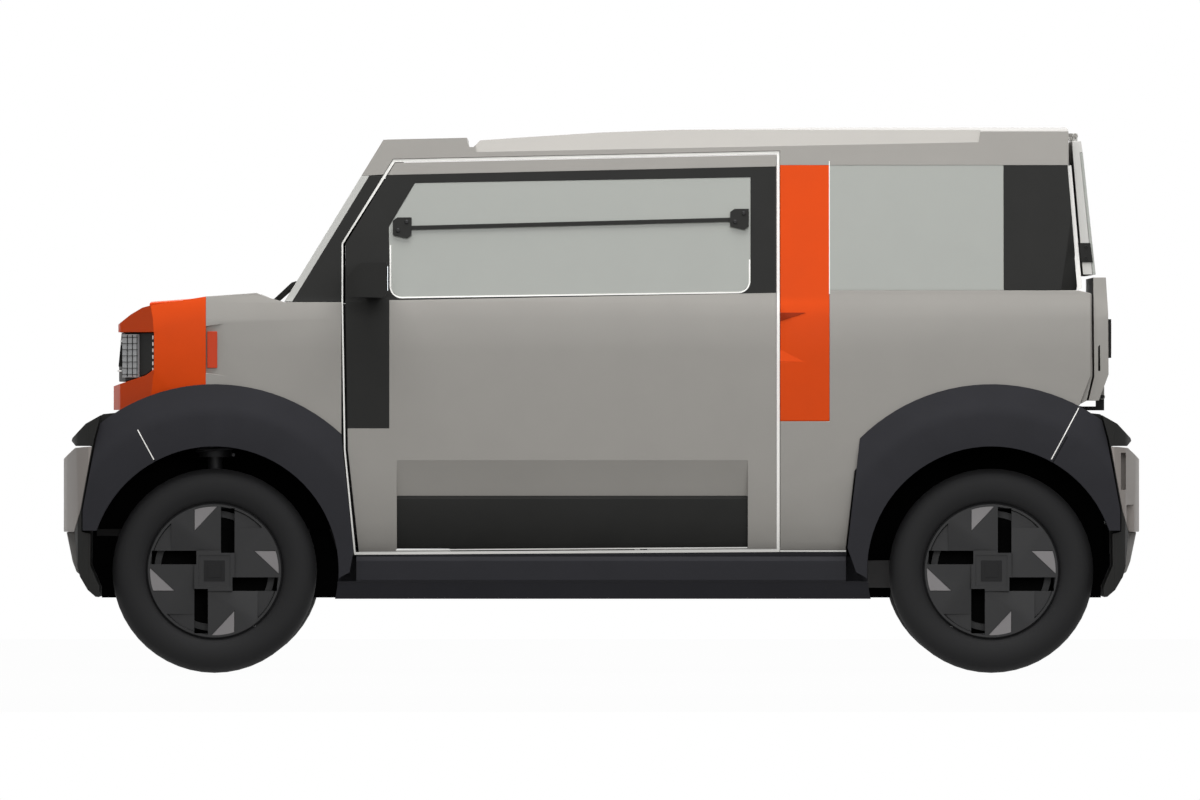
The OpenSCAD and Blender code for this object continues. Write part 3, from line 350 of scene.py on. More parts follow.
def add_patch(mesh, outer, inner):
    """Closed plate between two matching grids of points."""
    grids = [[[mesh.verts.new(p) for p in row] for row in grid] for grid in (outer, inner)]
    rows, columns = len(outer), len(outer[0])
    for grid in grids:
        for r in range(rows - 1):
            for c in range(columns - 1):
                mesh.faces.new((grid[r][c], grid[r][c + 1], grid[r + 1][c + 1], grid[r + 1][c]))
    border = ([(0, c) for c in range(columns)] + [(r, columns - 1) for r in range(1, rows)]
              + [(rows - 1, c) for c in reversed(range(columns - 1))]
              + [(r, 0) for r in reversed(range(1, rows - 1))])
    for (r0, c0), (r1, c1) in zip(border, border[1:] + border[:1]):
        mesh.faces.new((grids[0][r0][c0], grids[0][r1][c1], grids[1][r1][c1], grids[1][r0][c0]))


def arc(centre, radius, start, end, steps):
    """Points on an arc, angles in degrees."""
    angles = [math.radians(start + (end - start) * k / steps) for k in range(steps + 1)]
    return [(centre[0] + radius * math.cos(a), centre[1] + radius * math.sin(a)) for a in angles]


# Seats: padded pieces swollen by cloth simulation, in the space of their CAD solids

SEAT_X, SEAT_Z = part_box("seats")[0].x + 20 * MM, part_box("seats")[0].z
BENCH_X, BENCH_Z = REAR_AXLE.x - 0.540, 0.470
SEAT_IN, SEAT_OUT = 0.060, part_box("seats")[1].y
BENCH_HALF = WHEEL_Y - 0.245
PAD_VOXEL = 10 * MM
PAD_CAP = 24 * MM
PAD_PRESSURE = 4.0
PAD_MOMENTS = 20


def pad_block(length, width, thick, round_off):
    """Rounded block about the origin, remeshed evenly for the simulation."""
    mesh = bmesh.new()
    bmesh.ops.create_cube(mesh, size=1.0)
    bmesh.ops.scale(mesh, vec=(length, width, thick), verts=mesh.verts)
    bmesh.ops.bevel(mesh, geom=mesh.edges[:], offset=round_off, segments=4, affect="EDGES", profile=0.6)
    data = bpy.data.meshes.new("pad_block")
    mesh.to_mesh(data)
    mesh.free()
    block = bpy.data.objects.new("pad_block", data)
    bpy.context.scene.collection.objects.link(block)
    remesh = block.modifiers.new("even", "REMESH")
    remesh.mode, remesh.voxel_size = "VOXEL", PAD_VOXEL
    return block


def evaluated_mesh(piece):
    return bpy.data.meshes.new_from_object(piece.evaluated_get(bpy.context.evaluated_depsgraph_get()))


def swell(data):
    """Inflate a pad with Cloth pressure, each point moving no farther than the cap."""
    piece = bpy.data.objects.new("swelling", data)
    bpy.context.scene.collection.objects.link(piece)
    cloth = piece.modifiers.new("cloth", "CLOTH")
    cloth.settings.use_pressure = True
    cloth.settings.uniform_pressure_force = PAD_PRESSURE
    cloth.settings.effector_weights.gravity = 0.0
    cloth.point_cache.frame_start, cloth.point_cache.frame_end = 1, PAD_MOMENTS
    for moment in range(1, PAD_MOMENTS + 1):
        bpy.context.scene.frame_set(moment)
    swollen = evaluated_mesh(piece)
    for vert, moved in zip(data.vertices, swollen.vertices):
        step = moved.co - vert.co
        vert.co += step * min(1.0, PAD_CAP / max(step.length, 1e-9))
    bpy.data.objects.remove(piece)
    bpy.data.meshes.remove(swollen)
    bpy.context.scene.frame_set(1)


def sew(data, size, bolster, channels):
    """Raise the side bolsters, pull in the sewn channels and run a seam round the edge."""
    length, width, thick = size
    depth = 0.007
    for vert in data.vertices:
        u, v, w = vert.co
        if w > 0:
            edge = min(1.0, abs(v) / (width / 2))
            lift = bolster * edge ** 6
            for at in channels:
                lift -= depth * math.exp(-((u - at) / 0.007) ** 2)
            if bolster:
                lift -= depth * math.exp(-((abs(v) - 0.36 * width) / 0.008) ** 2)
            vert.co.z += lift * min(1.0, w / (0.3 * thick))
        pull = 0.004 * math.exp(-((w - 0.18 * thick) / 0.006) ** 2)
        vert.co.x -= math.copysign(pull, u) if abs(u) > 0.44 * length else 0.0
        vert.co.y -= math.copysign(pull, v) if abs(v) > 0.44 * width else 0.0


def make_pad(name, centre, along, size, bolster=0.0, channels=()):
    """One padded piece: size is its length along `along`, width across the car and thickness."""
    block = pad_block(*(s - 0.014 for s in size), 0.32 * size[2])
    data = evaluated_mesh(block)
    bpy.data.objects.remove(block)
    swell(data)
    sew(data, size, bolster, channels)
    u = Vector(along).normalized()
    v = Vector((0, 1, 0))
    turn = Matrix((u, v, u.cross(v))).transposed().to_4x4()
    data.transform(Matrix.Translation(centre) @ turn)
    data.shade_smooth()
    data.name = name
    made = place_piece(data, name, LOOKS["seat_cloth"], "body")
    smooth = made.modifiers.new("smooth", "SUBSURF")
    smooth.levels = smooth.render_levels = 1
    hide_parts("seats")


def make_seat(name, x, z, y, width, cushion, long, tall, lean, heads):
    """Cushion, back and head restraints over a hard base, from the seat's own sizes."""
    base = bmesh.new()
    add_crosswise(base, [(x + 0.02, z), (x, z + 0.4 * cushion), (x + long, z + 0.4 * cushion), (x + long + 0.09, z)],
                  y - width / 2 + 0.02, y + width / 2 - 0.02)
    for k in (-1, 1):
        add_lathe(base, ((0.018, 0), (0.024, 0.004), (0.024, 0.014), (0.016, 0.018)),
                  (x + long - 0.02, y + k * (width / 2 - 0.02), z + 0.62 * cushion), (0, k, 0), 20)
    made = finish_piece(base, name + "_base", LOOKS["dash"], "body", bevel=6 * MM)
    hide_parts("seats")

    pad_t = 0.6 * cushion
    make_pad(name + "_cushion", (x + long / 2 - 0.008, y, z + cushion - 0.012 - pad_t / 2), (long, 0, -0.02),
             (long + 0.01, width, pad_t), bolster=0.012, channels=(-0.13, -0.04, 0.05, 0.14))
    shell = bmesh.new()
    for inset, out, thick, low, high in ((0.014, 0.0, 0.018, 0.0, 0.006), (0.060, 0.003, 0.012, 0.18, 0.12)):
        back_line = [Vector((x + long + 0.100 + out, z)).lerp(Vector((x + long + lean + 0.075 + out, z + tall)), k)
                     for k in (low, 0.5, 1 - high)]
        add_crosswise(shell, [(p.x, p.y) for p in back_line] + [(p.x - thick, p.y) for p in reversed(back_line)],
                      y - width / 2 + inset, y + width / 2 - inset)
    made = finish_piece(shell, name + "_shell", LOOKS["dash"], "body", bevel=4 * MM)
    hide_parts("seats")
    rise = Vector((lean, 0, tall - cushion + 0.02))
    foot = Vector((x + long, y, z + cushion - 0.02))
    back_t = 0.058
    across = rise.normalized().cross(Vector((0, 1, 0)))
    make_pad(name + "_back", foot + rise * 0.5 - across * (back_t / 2 - 0.008), rise,
             (rise.length - 0.01, width, back_t), bolster=0.014, channels=(-0.14, -0.05, 0.04, 0.13))
    for index, head_y in enumerate(heads):
        top = Vector((x + long + lean, head_y, z + tall))
        make_pad(f"{name}_head_{index + 1}", top + Vector((0.036, 0, 0.099)), (0.004, 0, 0.15), (0.148, 0.236, 0.062),
                 channels=(-0.03,))
        posts = bmesh.new()
        for k in (-1, 1):
            add_tube(posts, [top + Vector((0.038, k * 0.060, h)) for h in (-0.078, -0.02, 0.034)], 6 * MM, 12)
            add_lathe(posts, ((0.012, 0), (0.012, 0.004), (0.008, 0.007), (0.0065, 0.007)),
                      top + Vector((0.038, k * 0.060, -0.036)), (0, 0, 1), 16)
        made = finish_piece(posts, f"{name}_head_posts_{index + 1}", LOOKS["alloy"], "body", bevel=0)
        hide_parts("seats")


for hand, s in SIDES:
    seat_y = s * (SEAT_IN + SEAT_OUT) / 2
    make_seat("seat_" + hand, SEAT_X, SEAT_Z, seat_y, SEAT_OUT - SEAT_IN, cushion=0.150, long=0.460, tall=0.620,
              lean=0.140, heads=(seat_y,))
make_seat("bench", BENCH_X, BENCH_Z, 0.0, 2 * BENCH_HALF, cushion=0.100, long=0.420, tall=0.560, lean=0.100,
          heads=(-0.228, 0.228))


# The CAD nodes get their finish and softened edges

FINE_EDGES = ("glass", "lens", "lens_red")
SHARP_FROM = math.radians(28)

# The recess low in the door keeps its slight edges: middle and half of its band of heights, and its own limit
CRISP_MID, CRISP_HALF, CRISP_FROM = 0.665, 0.135, math.radians(3)


def smooth_shading(name, limit, crisp_mid, crisp_half, crisp_limit):
    """Modifier tree that shades evenly across edges flatter than a limit, with a lower one in a band of heights."""
    tree = bpy.data.node_groups.new(name, "GeometryNodeTree")
    for way in ("INPUT", "OUTPUT"):
        tree.interface.new_socket("Geometry", in_out=way, socket_type="NodeSocketGeometry")
    start, end = tree.nodes.new("NodeGroupInput"), tree.nodes.new("NodeGroupOutput")
    angle = tree.nodes.new("GeometryNodeInputMeshEdgeAngle")
    flat = tree.nodes.new("FunctionNodeCompare")
    flat.operation = "LESS_THAN"
    split = tree.nodes.new("ShaderNodeSeparateXYZ")
    tree.links.new(tree.nodes.new("GeometryNodeInputPosition").outputs["Position"], split.inputs["Vector"])
    band = tree.nodes.new("ShaderNodeMath")
    band.operation = "COMPARE"
    band.inputs[1].default_value, band.inputs[2].default_value = crisp_mid, crisp_half
    choice = node(tree, "MapRange", To_Min=limit, To_Max=crisp_limit)
    tree.links.new(split.outputs["Z"], band.inputs[0])
    tree.links.new(band.outputs["Value"], choice.inputs["Value"])
    tree.links.new(choice.outputs["Result"], flat.inputs["B"])
    faces, edges = tree.nodes.new("GeometryNodeSetShadeSmooth"), tree.nodes.new("GeometryNodeSetShadeSmooth")
    edges.domain = "EDGE"
    tree.links.new(angle.outputs["Unsigned Angle"], flat.inputs["A"])
    tree.links.new(flat.outputs["Result"], edges.inputs["Shade Smooth"])
    for before, after in ((start, faces), (faces, edges), (edges, end)):
        tree.links.new(before.outputs["Geometry"], after.inputs["Geometry"])
    return tree


SMOOTH = smooth_shading("smooth_shading", SHARP_FROM, 0.0, 0.0, SHARP_FROM)
DOOR_SMOOTH = smooth_shading("door_shading", SHARP_FROM, CRISP_MID, CRISP_HALF, CRISP_FROM)
for part in frame["record"]["subparts"]:
    shape = nodes[part["node"]]
    shape.data.materials.clear()
    # The hatch frame takes the paler grey, which paints light onto it
    shape.data.materials.append(HATCH_LIT_GREY if part["node"] == "hatch_frame" else LOOKS[part["material_slot"]])
    weld = shape.modifiers.new("weld", "WELD")
    weld.merge_threshold = 0.02 * MM
    is_door = part["node"] in ("door_left", "door_right")
    shape.modifiers.new("shading", "NODES").node_group = DOOR_SMOOTH if is_door else SMOOTH
    edge = shape.modifiers.new("edge", "BEVEL")
    edge.limit_method, edge.angle_limit = "ANGLE", SHARP_FROM
    edge.width, edge.segments = (0.6 if part["material_slot"] in FINE_EDGES else 2.0) * MM, 2
    shape.modifiers.new("normals", "WEIGHTED_NORMAL").keep_sharp = True


# Tyres

TYRE_HALF = ((0.1905, 0.061), (0.203, 0.0735), (0.224, 0.0817), (0.250, 0.0815), (0.2685, 0.0735), (0.2795, 0.058),
             (0.284, 0.040))
TYRE_STEPS = 52
TREAD_REPEATS = 64


def tread_look():
    """Rubber with a blocked tread on the crown, laid out by the tyre's own map."""
    made = look("tyre_tread", (27, 27, 28), 0.74, tone=0.12, grain=0.0, shine=0.25)
    tree = made.node_tree
    tyre_map = tree.nodes.new("ShaderNodeUVMap")
    tyre_map.uv_map = "tread"
    blocks = node(tree, "TexBrick", Scale=1.0, Mortar_Size=0.06, Mortar_Smooth=0.2, Brick_Width=1.0, Row_Height=0.9)
    blocks.inputs["Color1"].default_value = blocks.inputs["Color2"].default_value = (1, 1, 1, 1)
    blocks.inputs["Mortar"].default_value = (0, 0, 0, 1)
    bump = node(tree, "Bump", Strength=0.9, Distance=0.004)
    tree.links.new(tyre_map.outputs["UV"], blocks.inputs["Vector"])
    tree.links.new(blocks.outputs["Color"], bump.inputs["Height"])
    tree.links.new(bump.outputs["Normal"], tree.nodes["Principled BSDF"].inputs["Normal"])
    return made


TREAD = tread_look()


def make_tyre(name, s):
    """Round-shouldered tyre; only the crown's part of the map carries blocks."""
    loop = list(TYRE_HALF) + [(r, -w) for r, w in reversed(TYRE_HALF)]
    mesh = bmesh.new()
    uv = mesh.loops.layers.uv.new("tread")
    rings = add_lathe(mesh, loop, middle("tyre_" + name), (0, s, 0), TYRE_STEPS, closed=True)
    place = {vert: (i, k) for i, ring in enumerate(rings) for k, vert in enumerate(ring)}
    first_crown = len(TYRE_HALF) - 2
    for face in mesh.faces:
        steps = [place[v][0] for v in face.verts]
        wraps = max(steps) - min(steps) > 1
        on_crown = all(first_crown <= place[v][1] <= first_crown + 3 for v in face.verts)
        for corner in face.loops:
            i, k = place[corner.vert]
            i = TYRE_STEPS if wraps and i == 0 else i
            corner[uv].uv = (i * TREAD_REPEATS / TYRE_STEPS, (k - first_crown) * 1.5) if on_crown else (0.5, 0.45)
    made = finish_piece(mesh, "road_tyre_" + name, TREAD, "wheel_" + name, bevel=0, smooth=50)
    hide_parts("tyre_" + name)


# Wheel covers: pale vane corners and the square centre

TIP_LOW, TIP_LINE = Vector((-0.0551, 0.1119)), Vector((0.084, 0.090))
TIP_R = RIM_R - 9.5 * MM


def tip_outline():
    """Pale corner of one vane: two straight edges and the rim's arc."""
    start = math.acos(TIP_LOW.x / TIP_R)
    end = start
    while TIP_LINE.x * (TIP_R * math.sin(end) - TIP_LOW.y) > TIP_LINE.y * (TIP_R * math.cos(end) - TIP_LOW.x):
        end -= 0.002
    rim = arc((0, 0), TIP_R, math.degrees(start), math.degrees(end), 8)
    return [TIP_LOW] + [Vector(p) for p in rim]


def make_wheel_trim(name, s):
    centre = middle("tyre_" + name)
    mesh = bmesh.new()
    for quarter in range(4):
        turn = Matrix.Rotation(quarter * math.pi / 2, 2)
        outline = [(centre.x + p.x, centre.z + p.y) for p in (turn @ q for q in tip_outline())]
        add_crosswise(mesh, outline, s * (WHEEL_FACE - 4.9 * MM), s * (WHEEL_FACE - 0.8 * MM))
    finish_piece(mesh, "vane_tips_" + name, TIP, "wheel_" + name, bevel=0.6 * MM)
    mesh = bmesh.new()
    hub_floor = WHEEL_FACE + 5 * MM
    for half, low, high in ((0.029, 0.0, 1.6), (0.0185, 1.4, 2.6)):
        add_box(mesh, (centre.x - half, s * (hub_floor + low * MM), centre.z - half),
                (centre.x + half, s * (hub_floor + high * MM), centre.z + half))
    finish_piece(mesh, "hub_square_" + name, HUB, "wheel_" + name, bevel=0.5 * MM)
    mesh = bmesh.new()
    add_lathe(mesh, ((0.0345, 0.006), (0.0345, 0.012), (0.060, 0.012), (0.066, 0.008), (0.120, 0.008), (0.126, 0.012),
                     (0.149, 0.012), (0.149, 0.006)), centre, (0, s, 0), 48, closed=True)
    finish_piece(mesh, "wheel_dish_" + name, LOOKS["liner"], "wheel_" + name, bevel=0, smooth=60)


for axle in ("front", "rear"):
    for hand, s in SIDES:
        make_tyre(f"{axle}_{hand}", s)
        make_wheel_trim(f"{axle}_{hand}", s)


# Doors: seals, window and foot lines, rail screws, mirror glass and inner cards

FOOT_LINE = 3.4 * MM


def door_outline(g, lead):
    """Door outline in side view, grown by g, and by lead at the front edge, which swings in as the door opens."""
    front, rear = DOOR_FRONT, DOOR_REAR
    return [(front + 0.0352 - lead, 0.338 - g), (front + 0.007 - lead, 0.620), (front - lead, 1.031),
            (front - lead, 1.193 + 0.28 * g), (front + 0.138 - 0.56 * g, 1.419 + g), (rear + g, 1.442 + g),
            (rear + g, 0.346 - g)]


def door_foot(x):
    """Point just above the door's lower edge."""
    return x, 0.3392 + 0.008 * (x - DOOR_FRONT - 0.037) / (DOOR_REAR - DOOR_FRONT - 0.037)


def window_line(inset):
    """Lower edge of the door window with its round corners, from the left side to the right."""
    left, right, low = DOOR_FRONT + 0.122 + inset, DOOR_REAR - 0.071 - inset, 1.041 + inset
    radius = 0.034 - inset
    return ([(left, 1.190)] + arc((left + radius, low + radius), radius, 180, 270, 6)
            + arc((right - radius, low + 0.014 + radius), radius, 270, 360, 6) + [(right, 1.150)])


def make_door_card(hand, s):
    """Inner card with a raised arm rest, a pocket and a pull."""
    x0, x1 = DOOR_FRONT + 0.075, DOOR_REAR - 0.060
    skin = 0.0925
    mesh = bmesh.new()
    add_side_plate(mesh, [(x0 + 0.03, 0.400), (x0, 0.460), (x0, 0.985), (x0 + 0.03, 1.015), (x1 - 0.03, 1.015),
                          (x1, 0.985), (x1, 0.430), (x1 - 0.03, 0.400)], s, skin, skin + 6 * MM)
    add_side_plate(mesh, [(x0 + 0.16, 0.700), (x0 + 0.12, 0.740), (x0 + 0.14, 0.775), (x1 - 0.30, 0.790),
                          (x1 - 0.24, 0.755), (x1 - 0.28, 0.715)], s, skin + 5.5 * MM, skin + 42 * MM)
    add_side_plate(mesh, [(x0 + 0.10, 0.430), (x0 + 0.07, 0.560), (x0 + 0.62, 0.580), (x0 + 0.66, 0.430)], s,
                   skin + 5.5 * MM, skin + 26 * MM)
    finish_piece(mesh, "door_card_" + hand, LOOKS["dash"], "door_" + hand, bevel=4 * MM)
    mesh = bmesh.new()
    pull_z = 0.86
    pull_y = side_y(pull_z) - skin - 0.008
    add_tube(mesh, [(x0 + 0.22 + 0.02 * k, s * (pull_y - 0.024 * math.sin(math.pi * k / 8)), pull_z)
                    for k in range(9)], 8 * MM, 10)
    finish_piece(mesh, "door_pull_" + hand, LOOKS["alloy"], "door_" + hand, bevel=0)


for hand, s in SIDES:
    mesh = bmesh.new()
    add_strip(mesh, door_outline(2.0 * MM, 6.6 * MM), door_outline(9.5 * MM, 10.7 * MM), s, 4 * MM, 5 * MM)
    finish_piece(mesh, "door_seal_" + hand, GLOWING_SEAL, "body", bevel=0)

    mesh = bmesh.new()
    add_strip(mesh, window_line(1 * MM), window_line(5 * MM), s, -0.3 * MM, 1.6 * MM, closed=False)
    finish_piece(mesh, "window_line_" + hand, GLOWING_SEAL, "door_" + hand, bevel=0)

    # Pale line just above the door's lower edge; the seals' painted glow keeps it white in the shade there
    mesh = bmesh.new()
    foot = [door_foot(DOOR_FRONT + 0.140), door_foot(DOOR_REAR - 0.080)]
    add_side_plate(mesh, foot + [(x, z + FOOT_LINE) for x, z in reversed(foot)], s, -0.6 * MM, 1.5 * MM)
    finish_piece(mesh, "door_foot_line_" + hand, GLOWING_SEAL, "door_" + hand, bevel=0)

    mesh = bmesh.new()
    for x, z in ((DOOR_FRONT + 0.158, 1.2425), (DOOR_REAR - 0.102, 1.2665)):
        for dx, dz in ((-0.012, -0.012), (0.012, 0.012)):
            add_screw(mesh, (x + dx, s * (side_y(z + dz) + 8.6 * MM), z + dz), (0, s, 0), 6 * MM, 4 * MM)
    finish_piece(mesh, "rail_screws_" + hand, SCREW, "door_" + hand, bevel=0)

    mirror_y = side_y(1.060)
    mesh = bmesh.new()
    glass = [(mirror_y + y, z) for y, z in ((0.036, 1.062), (0.142, 1.062), (0.142, 1.130), (0.130, 1.134),
                                            (0.048, 1.134), (0.036, 1.124))]
    add_prism(mesh, [(DOOR_FRONT + 0.1175, s * y, z) for y, z in glass],
              [(DOOR_FRONT + 0.1195, s * y, z) for y, z in glass])
    finish_piece(mesh, "mirror_glass_" + hand, MIRROR, "door_" + hand, bevel=0.5 * MM)
    make_door_card(hand, s)


# Arch cladding: pale joint lines

ARCH_R = 0.346
FLARE_FLAT_R, FLARE_R, FLARE_DROP = 0.428, 0.519, 0.031


def flare_y(r):
    """Outer face of the cladding at a radius from the axle."""
    return FLARE_Y - FLARE_DROP * max(0.0, r - FLARE_FLAT_R) / (FLARE_R - FLARE_FLAT_R)


def make_joint_line(name, axle, lean, r0, r1):
    """Thin pale line in the joint of the cladding, on both sides."""
    along = Vector((math.sin(math.radians(lean)), math.cos(math.radians(lean))))
    over = Vector((along.y, -along.x)) * 1.4 * MM
    mesh = bmesh.new()
    for hand, s in SIDES:
        for start, end in ((r0, min(r1, FLARE_FLAT_R)), (FLARE_FLAT_R, r1)):
            if end - start < 1 * MM:
                continue
            ring = []
            for r, sign in ((start, -1), (end, -1), (end, 1), (start, 1)):
                p = along * r + over * sign
                ring.append((axle.x + p.x, flare_y(r), axle.z + p.y))
            add_prism(mesh, [(x, s * (y + 0.4 * MM), z) for x, y, z in ring],
                      [(x, s * (y - 3 * MM), z) for x, y, z in ring])
    finish_piece(mesh, name, GLOWING_SEAL, "body", bevel=0)


make_joint_line("front_joint_lines", FRONT_AXLE, -28.5, 0.352, 0.446)
make_joint_line("rear_joint_lines", REAR_AXLE, 28.2, 0.352, 0.514)


# Shut lines: sill steps, splash joints and the returns at the tail

SILL_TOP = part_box("sills")[1].z
STEP_FRONT, STEP_REAR = FRONT_AXLE.x + ARCH_R + 0.046, REAR_AXLE.x - ARCH_R - 0.056
STEP_LOW, STEP_HIGH = 0.3295, 0.3372
LINE_LOW, LINE_HIGH = 0.3368, 0.3416
SPLASH_LOW, SPLASH_HIGH = 0.372, 0.404
SPLASH_IN = WHEEL_Y - 0.240
TOE_X = DOOR_FRONT - 0.018

for hand, s in SIDES:
    step_y = side_y(0.330)
    mesh = bmesh.new()
    step = [(STEP_FRONT, SILL_TOP), (STEP_FRONT, STEP_LOW), (DOOR_REAR, STEP_HIGH), (STEP_REAR, STEP_HIGH),
            (STEP_REAR, SILL_TOP)]
    add_crosswise(mesh, step, s * (step_y - 0.060), s * (step_y - 0.004))
    finish_piece(mesh, "sill_step_" + hand, LOOKS["cladding"], "body", bevel=1.5 * MM)
    mesh = bmesh.new()
    x0, x1 = DOOR_REAR + 0.011, STEP_REAR - 2 * MM
    add_side_plate(mesh, [(x0, LINE_LOW), (x1, LINE_LOW), (x1, LINE_HIGH), (x0, LINE_HIGH)], s, 3 * MM, 9 * MM)
    finish_piece(mesh, "quarter_line_" + hand, GLOWING_SEAL, "body", bevel=0)

    mesh = bmesh.new()
    toe_joint = [(TOE_X - 0.084, SPLASH_LOW), (TOE_X - 0.084, SPLASH_HIGH), (TOE_X - 0.024, SPLASH_HIGH),
                 (TOE_X + 0.008, 0.298), (TOE_X - 0.008, 0.298), (TOE_X - 0.034, SPLASH_LOW)]
    nose_joint = [(NOSE_X + 0.080, SPLASH_LOW), (NOSE_X + 0.080, SPLASH_HIGH), (NOSE_X + 0.0926, SPLASH_HIGH),
                  (NOSE_X + 0.0926, SPLASH_LOW)]
    tail_joint = [(TAIL_X - 0.104, 0.322), (TAIL_X - 0.104, 0.410), (TAIL_X - 0.081, 0.410), (TAIL_X - 0.081, 0.322)]
    for outline, inner, outer in ((toe_joint, -2, 4), (nose_joint, -2, 4), (tail_joint, -8, -2)):
        add_crosswise(mesh, outline, s * (SPLASH_IN + inner * MM), s * (SPLASH_IN + outer * MM))
    finish_piece(mesh, "splash_joints_" + hand, LOOKS["liner"], "body", bevel=0.6 * MM)

    mesh = bmesh.new()
    gate_edge = ((0.141, 1.054), (0.134, 1.054), (0.133, 0.826), (0.149, 0.757), (0.166, 0.748), (0.141, 0.826))
    add_side_plate(mesh, [(TAIL_X - x, z) for x, z in gate_edge], s, 14 * MM, 40 * MM)
    finish_piece(mesh, "gate_return_" + hand, LOOKS["body_grey"], "body", bevel=0.8 * MM)
    mesh = bmesh.new()
    hatch_edge = ((0.203, 1.412), (0.190, 1.412), (0.161, 1.070), (0.174, 1.066))
    add_side_plate(mesh, [(TAIL_X - x, z) for x, z in hatch_edge], s, 32 * MM, 48 * MM)
    finish_piece(mesh, "hatch_seal_" + hand, GLOWING_SEAL, "body", bevel=0.8 * MM)


# Hand recesses and edge lines of the pillar straps

STRAP_X, STRAP_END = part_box("pillar_straps")[0].x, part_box("pillar_straps")[1].x
RECESS_LOW, RECESS_HIGH, RECESS_LONG, RECESS_DEEP = 0.866, 1.002, 0.070, 9 * MM
EDGE_LOW, EDGE_MID, EDGE_HIGH = 1.054, 1.240, 1.424


def recess_y(x, z):
    """Outer face of the strap, in its hand recess too."""
    return min(side_y(z), HALF_W - RECESS_DEEP * (1 - (x - STRAP_X) / RECESS_LONG))


# Thin dark orange plate over the top of each hand recess: painted shade where the recess's upper edge shadows it
mesh = bmesh.new()
for hand, s in SIDES:
    rows = [[(STRAP_X + RECESS_LONG * k / 8, RECESS_HIGH - drop * 0.024 * (1 - 0.97 * k / 8)) for k in range(9)]
            for drop in (0, 0.25, 0.5, 0.75, 1)]
    add_patch(mesh, *([[(x, s * (recess_y(x, z) + lift), z) for x, z in row] for row in rows]
                      for lift in (1.4 * MM, -2 * MM)))
finish_piece(mesh, "recess_painted_shade", PAINTED_SHADE_ORANGE, "body", bevel=0)

mesh = bmesh.new()
for hand, s in SIDES:
    face_y, deep_y = side_y(RECESS_LOW) - 0.3 * MM, HALF_W - RECESS_DEEP
    corners = [mesh.verts.new((x, s * y, z)) for x, y, z in (
        (STRAP_X, face_y, RECESS_LOW), (STRAP_X + RECESS_LONG, face_y, RECESS_LOW),
        (STRAP_X, deep_y, RECESS_LOW + 0.034), (STRAP_X, deep_y, RECESS_LOW))]
    for skipped in range(4):
        mesh.faces.new([c for i, c in enumerate(corners) if i != skipped])
finish_piece(mesh, "recess_floors", LOOKS["orange"], "body", bevel=0)

mesh = bmesh.new()
for hand, s in SIDES:
    x0, x1 = STRAP_END - 1.0 * MM, STRAP_END + 1.4 * MM
    edge_line = [(x0, EDGE_LOW), (x1, EDGE_LOW), (x1, EDGE_MID), (x1, EDGE_HIGH), (x0, EDGE_HIGH), (x0, EDGE_MID)]
    add_side_plate(mesh, edge_line, s, -0.5 * MM, 2 * MM)
finish_piece(mesh, "strap_edge_lines", GLOWING_SEAL, "body", bevel=0)


# Lamps and nose

LAMP_LOW, LAMP_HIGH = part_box("headlamps")[0].z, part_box("headlamps")[1].z
LENS_FRONT, LENS_BACK = Vector((NOSE_X + 0.164, HALF_W - 0.145)), Vector((NOSE_X + 0.208, HALF_W - 0.083))
NOSE_STRIPS = (0.840, 0.923)


def grille_x(z):
    """Front face of the black grille panel at height z."""
    return NOSE_X + 0.147 + 0.013 * (z - 0.810) / 0.136


for hand, s in SIDES:
    out = Vector((LENS_FRONT.y - LENS_BACK.y, LENS_BACK.x - LENS_FRONT.x)).normalized()
    mesh = bmesh.new()
    for row in range(7):
        z = LAMP_LOW + (LAMP_HIGH - LAMP_LOW) * (row + 0.5) / 7
        plan = [LENS_FRONT + out * 0.5 * MM, LENS_BACK + out * 0.5 * MM, LENS_BACK + out * 2 * MM,
                LENS_FRONT + out * 2 * MM]
        add_prism(mesh, [(c.x, s * c.y, z - 0.8 * MM) for c in plan], [(c.x, s * c.y, z + 0.8 * MM) for c in plan])
    for k in (0.33, 0.66, 0.96):
        post = LENS_FRONT.lerp(LENS_BACK, k)
        x, y = post.x + out.x * MM, s * (post.y + out.y * MM)
        add_tube(mesh, [(x, y, LAMP_LOW + 2 * MM), (x, y, LAMP_HIGH - 2 * MM)], 0.9 * MM, 6)
    finish_piece(mesh, "lamp_bars_" + hand, LOOKS["black_trim"], "body", bevel=0)

    mesh = bmesh.new()
    for row in range(6):
        z = LAMP_LOW + 0.016 + row * 0.018
        add_box(mesh, (NOSE_X + 0.249, s * (HALF_W - 0.030), z), (NOSE_X + 0.2525, s * (HALF_W - 0.022), z + 0.010))
    finish_piece(mesh, "lamp_dashes_" + hand, LED, "body", bevel=0.4 * MM)

mesh = bmesh.new()
for z in NOSE_STRIPS:
    add_box(mesh, (grille_x(z), -0.585, z - 2 * MM), (grille_x(z) + 0.012, 0.585, z + 2 * MM))
finish_piece(mesh, "nose_light_strips", LED, "body", bevel=0.5 * MM)

mesh = bmesh.new()
for k in range(-14, 15):
    y = 0.037 * k
    add_crosswise(mesh, [(grille_x(0.852) + 1 * MM, 0.852), (grille_x(0.912) + 1 * MM, 0.912),
                         (grille_x(0.912) + 0.010, 0.912), (grille_x(0.852) + 0.010, 0.852)], y - 3 * MM, y + 3 * MM)
finish_piece(mesh, "grille_ribs", LOOKS["black_trim"], "body", bevel=1.2 * MM)

mesh = bmesh.new()
for k in (0.466, 0.478, 0.508, 0.520):
    add_crosswise(mesh, [(NOSE_X + k, 1.0125), (NOSE_X + k + 4 * MM, 1.026), (NOSE_X + k + 8 * MM, 1.026),
                         (NOSE_X + k + 5 * MM, 1.0125)], -0.56, 0.56)
finish_piece(mesh, "cowl_slats", LOOKS["black_trim"], "body", bevel=0.8 * MM)


# Tail: lamp ribs and frames, pull, side slots and latches

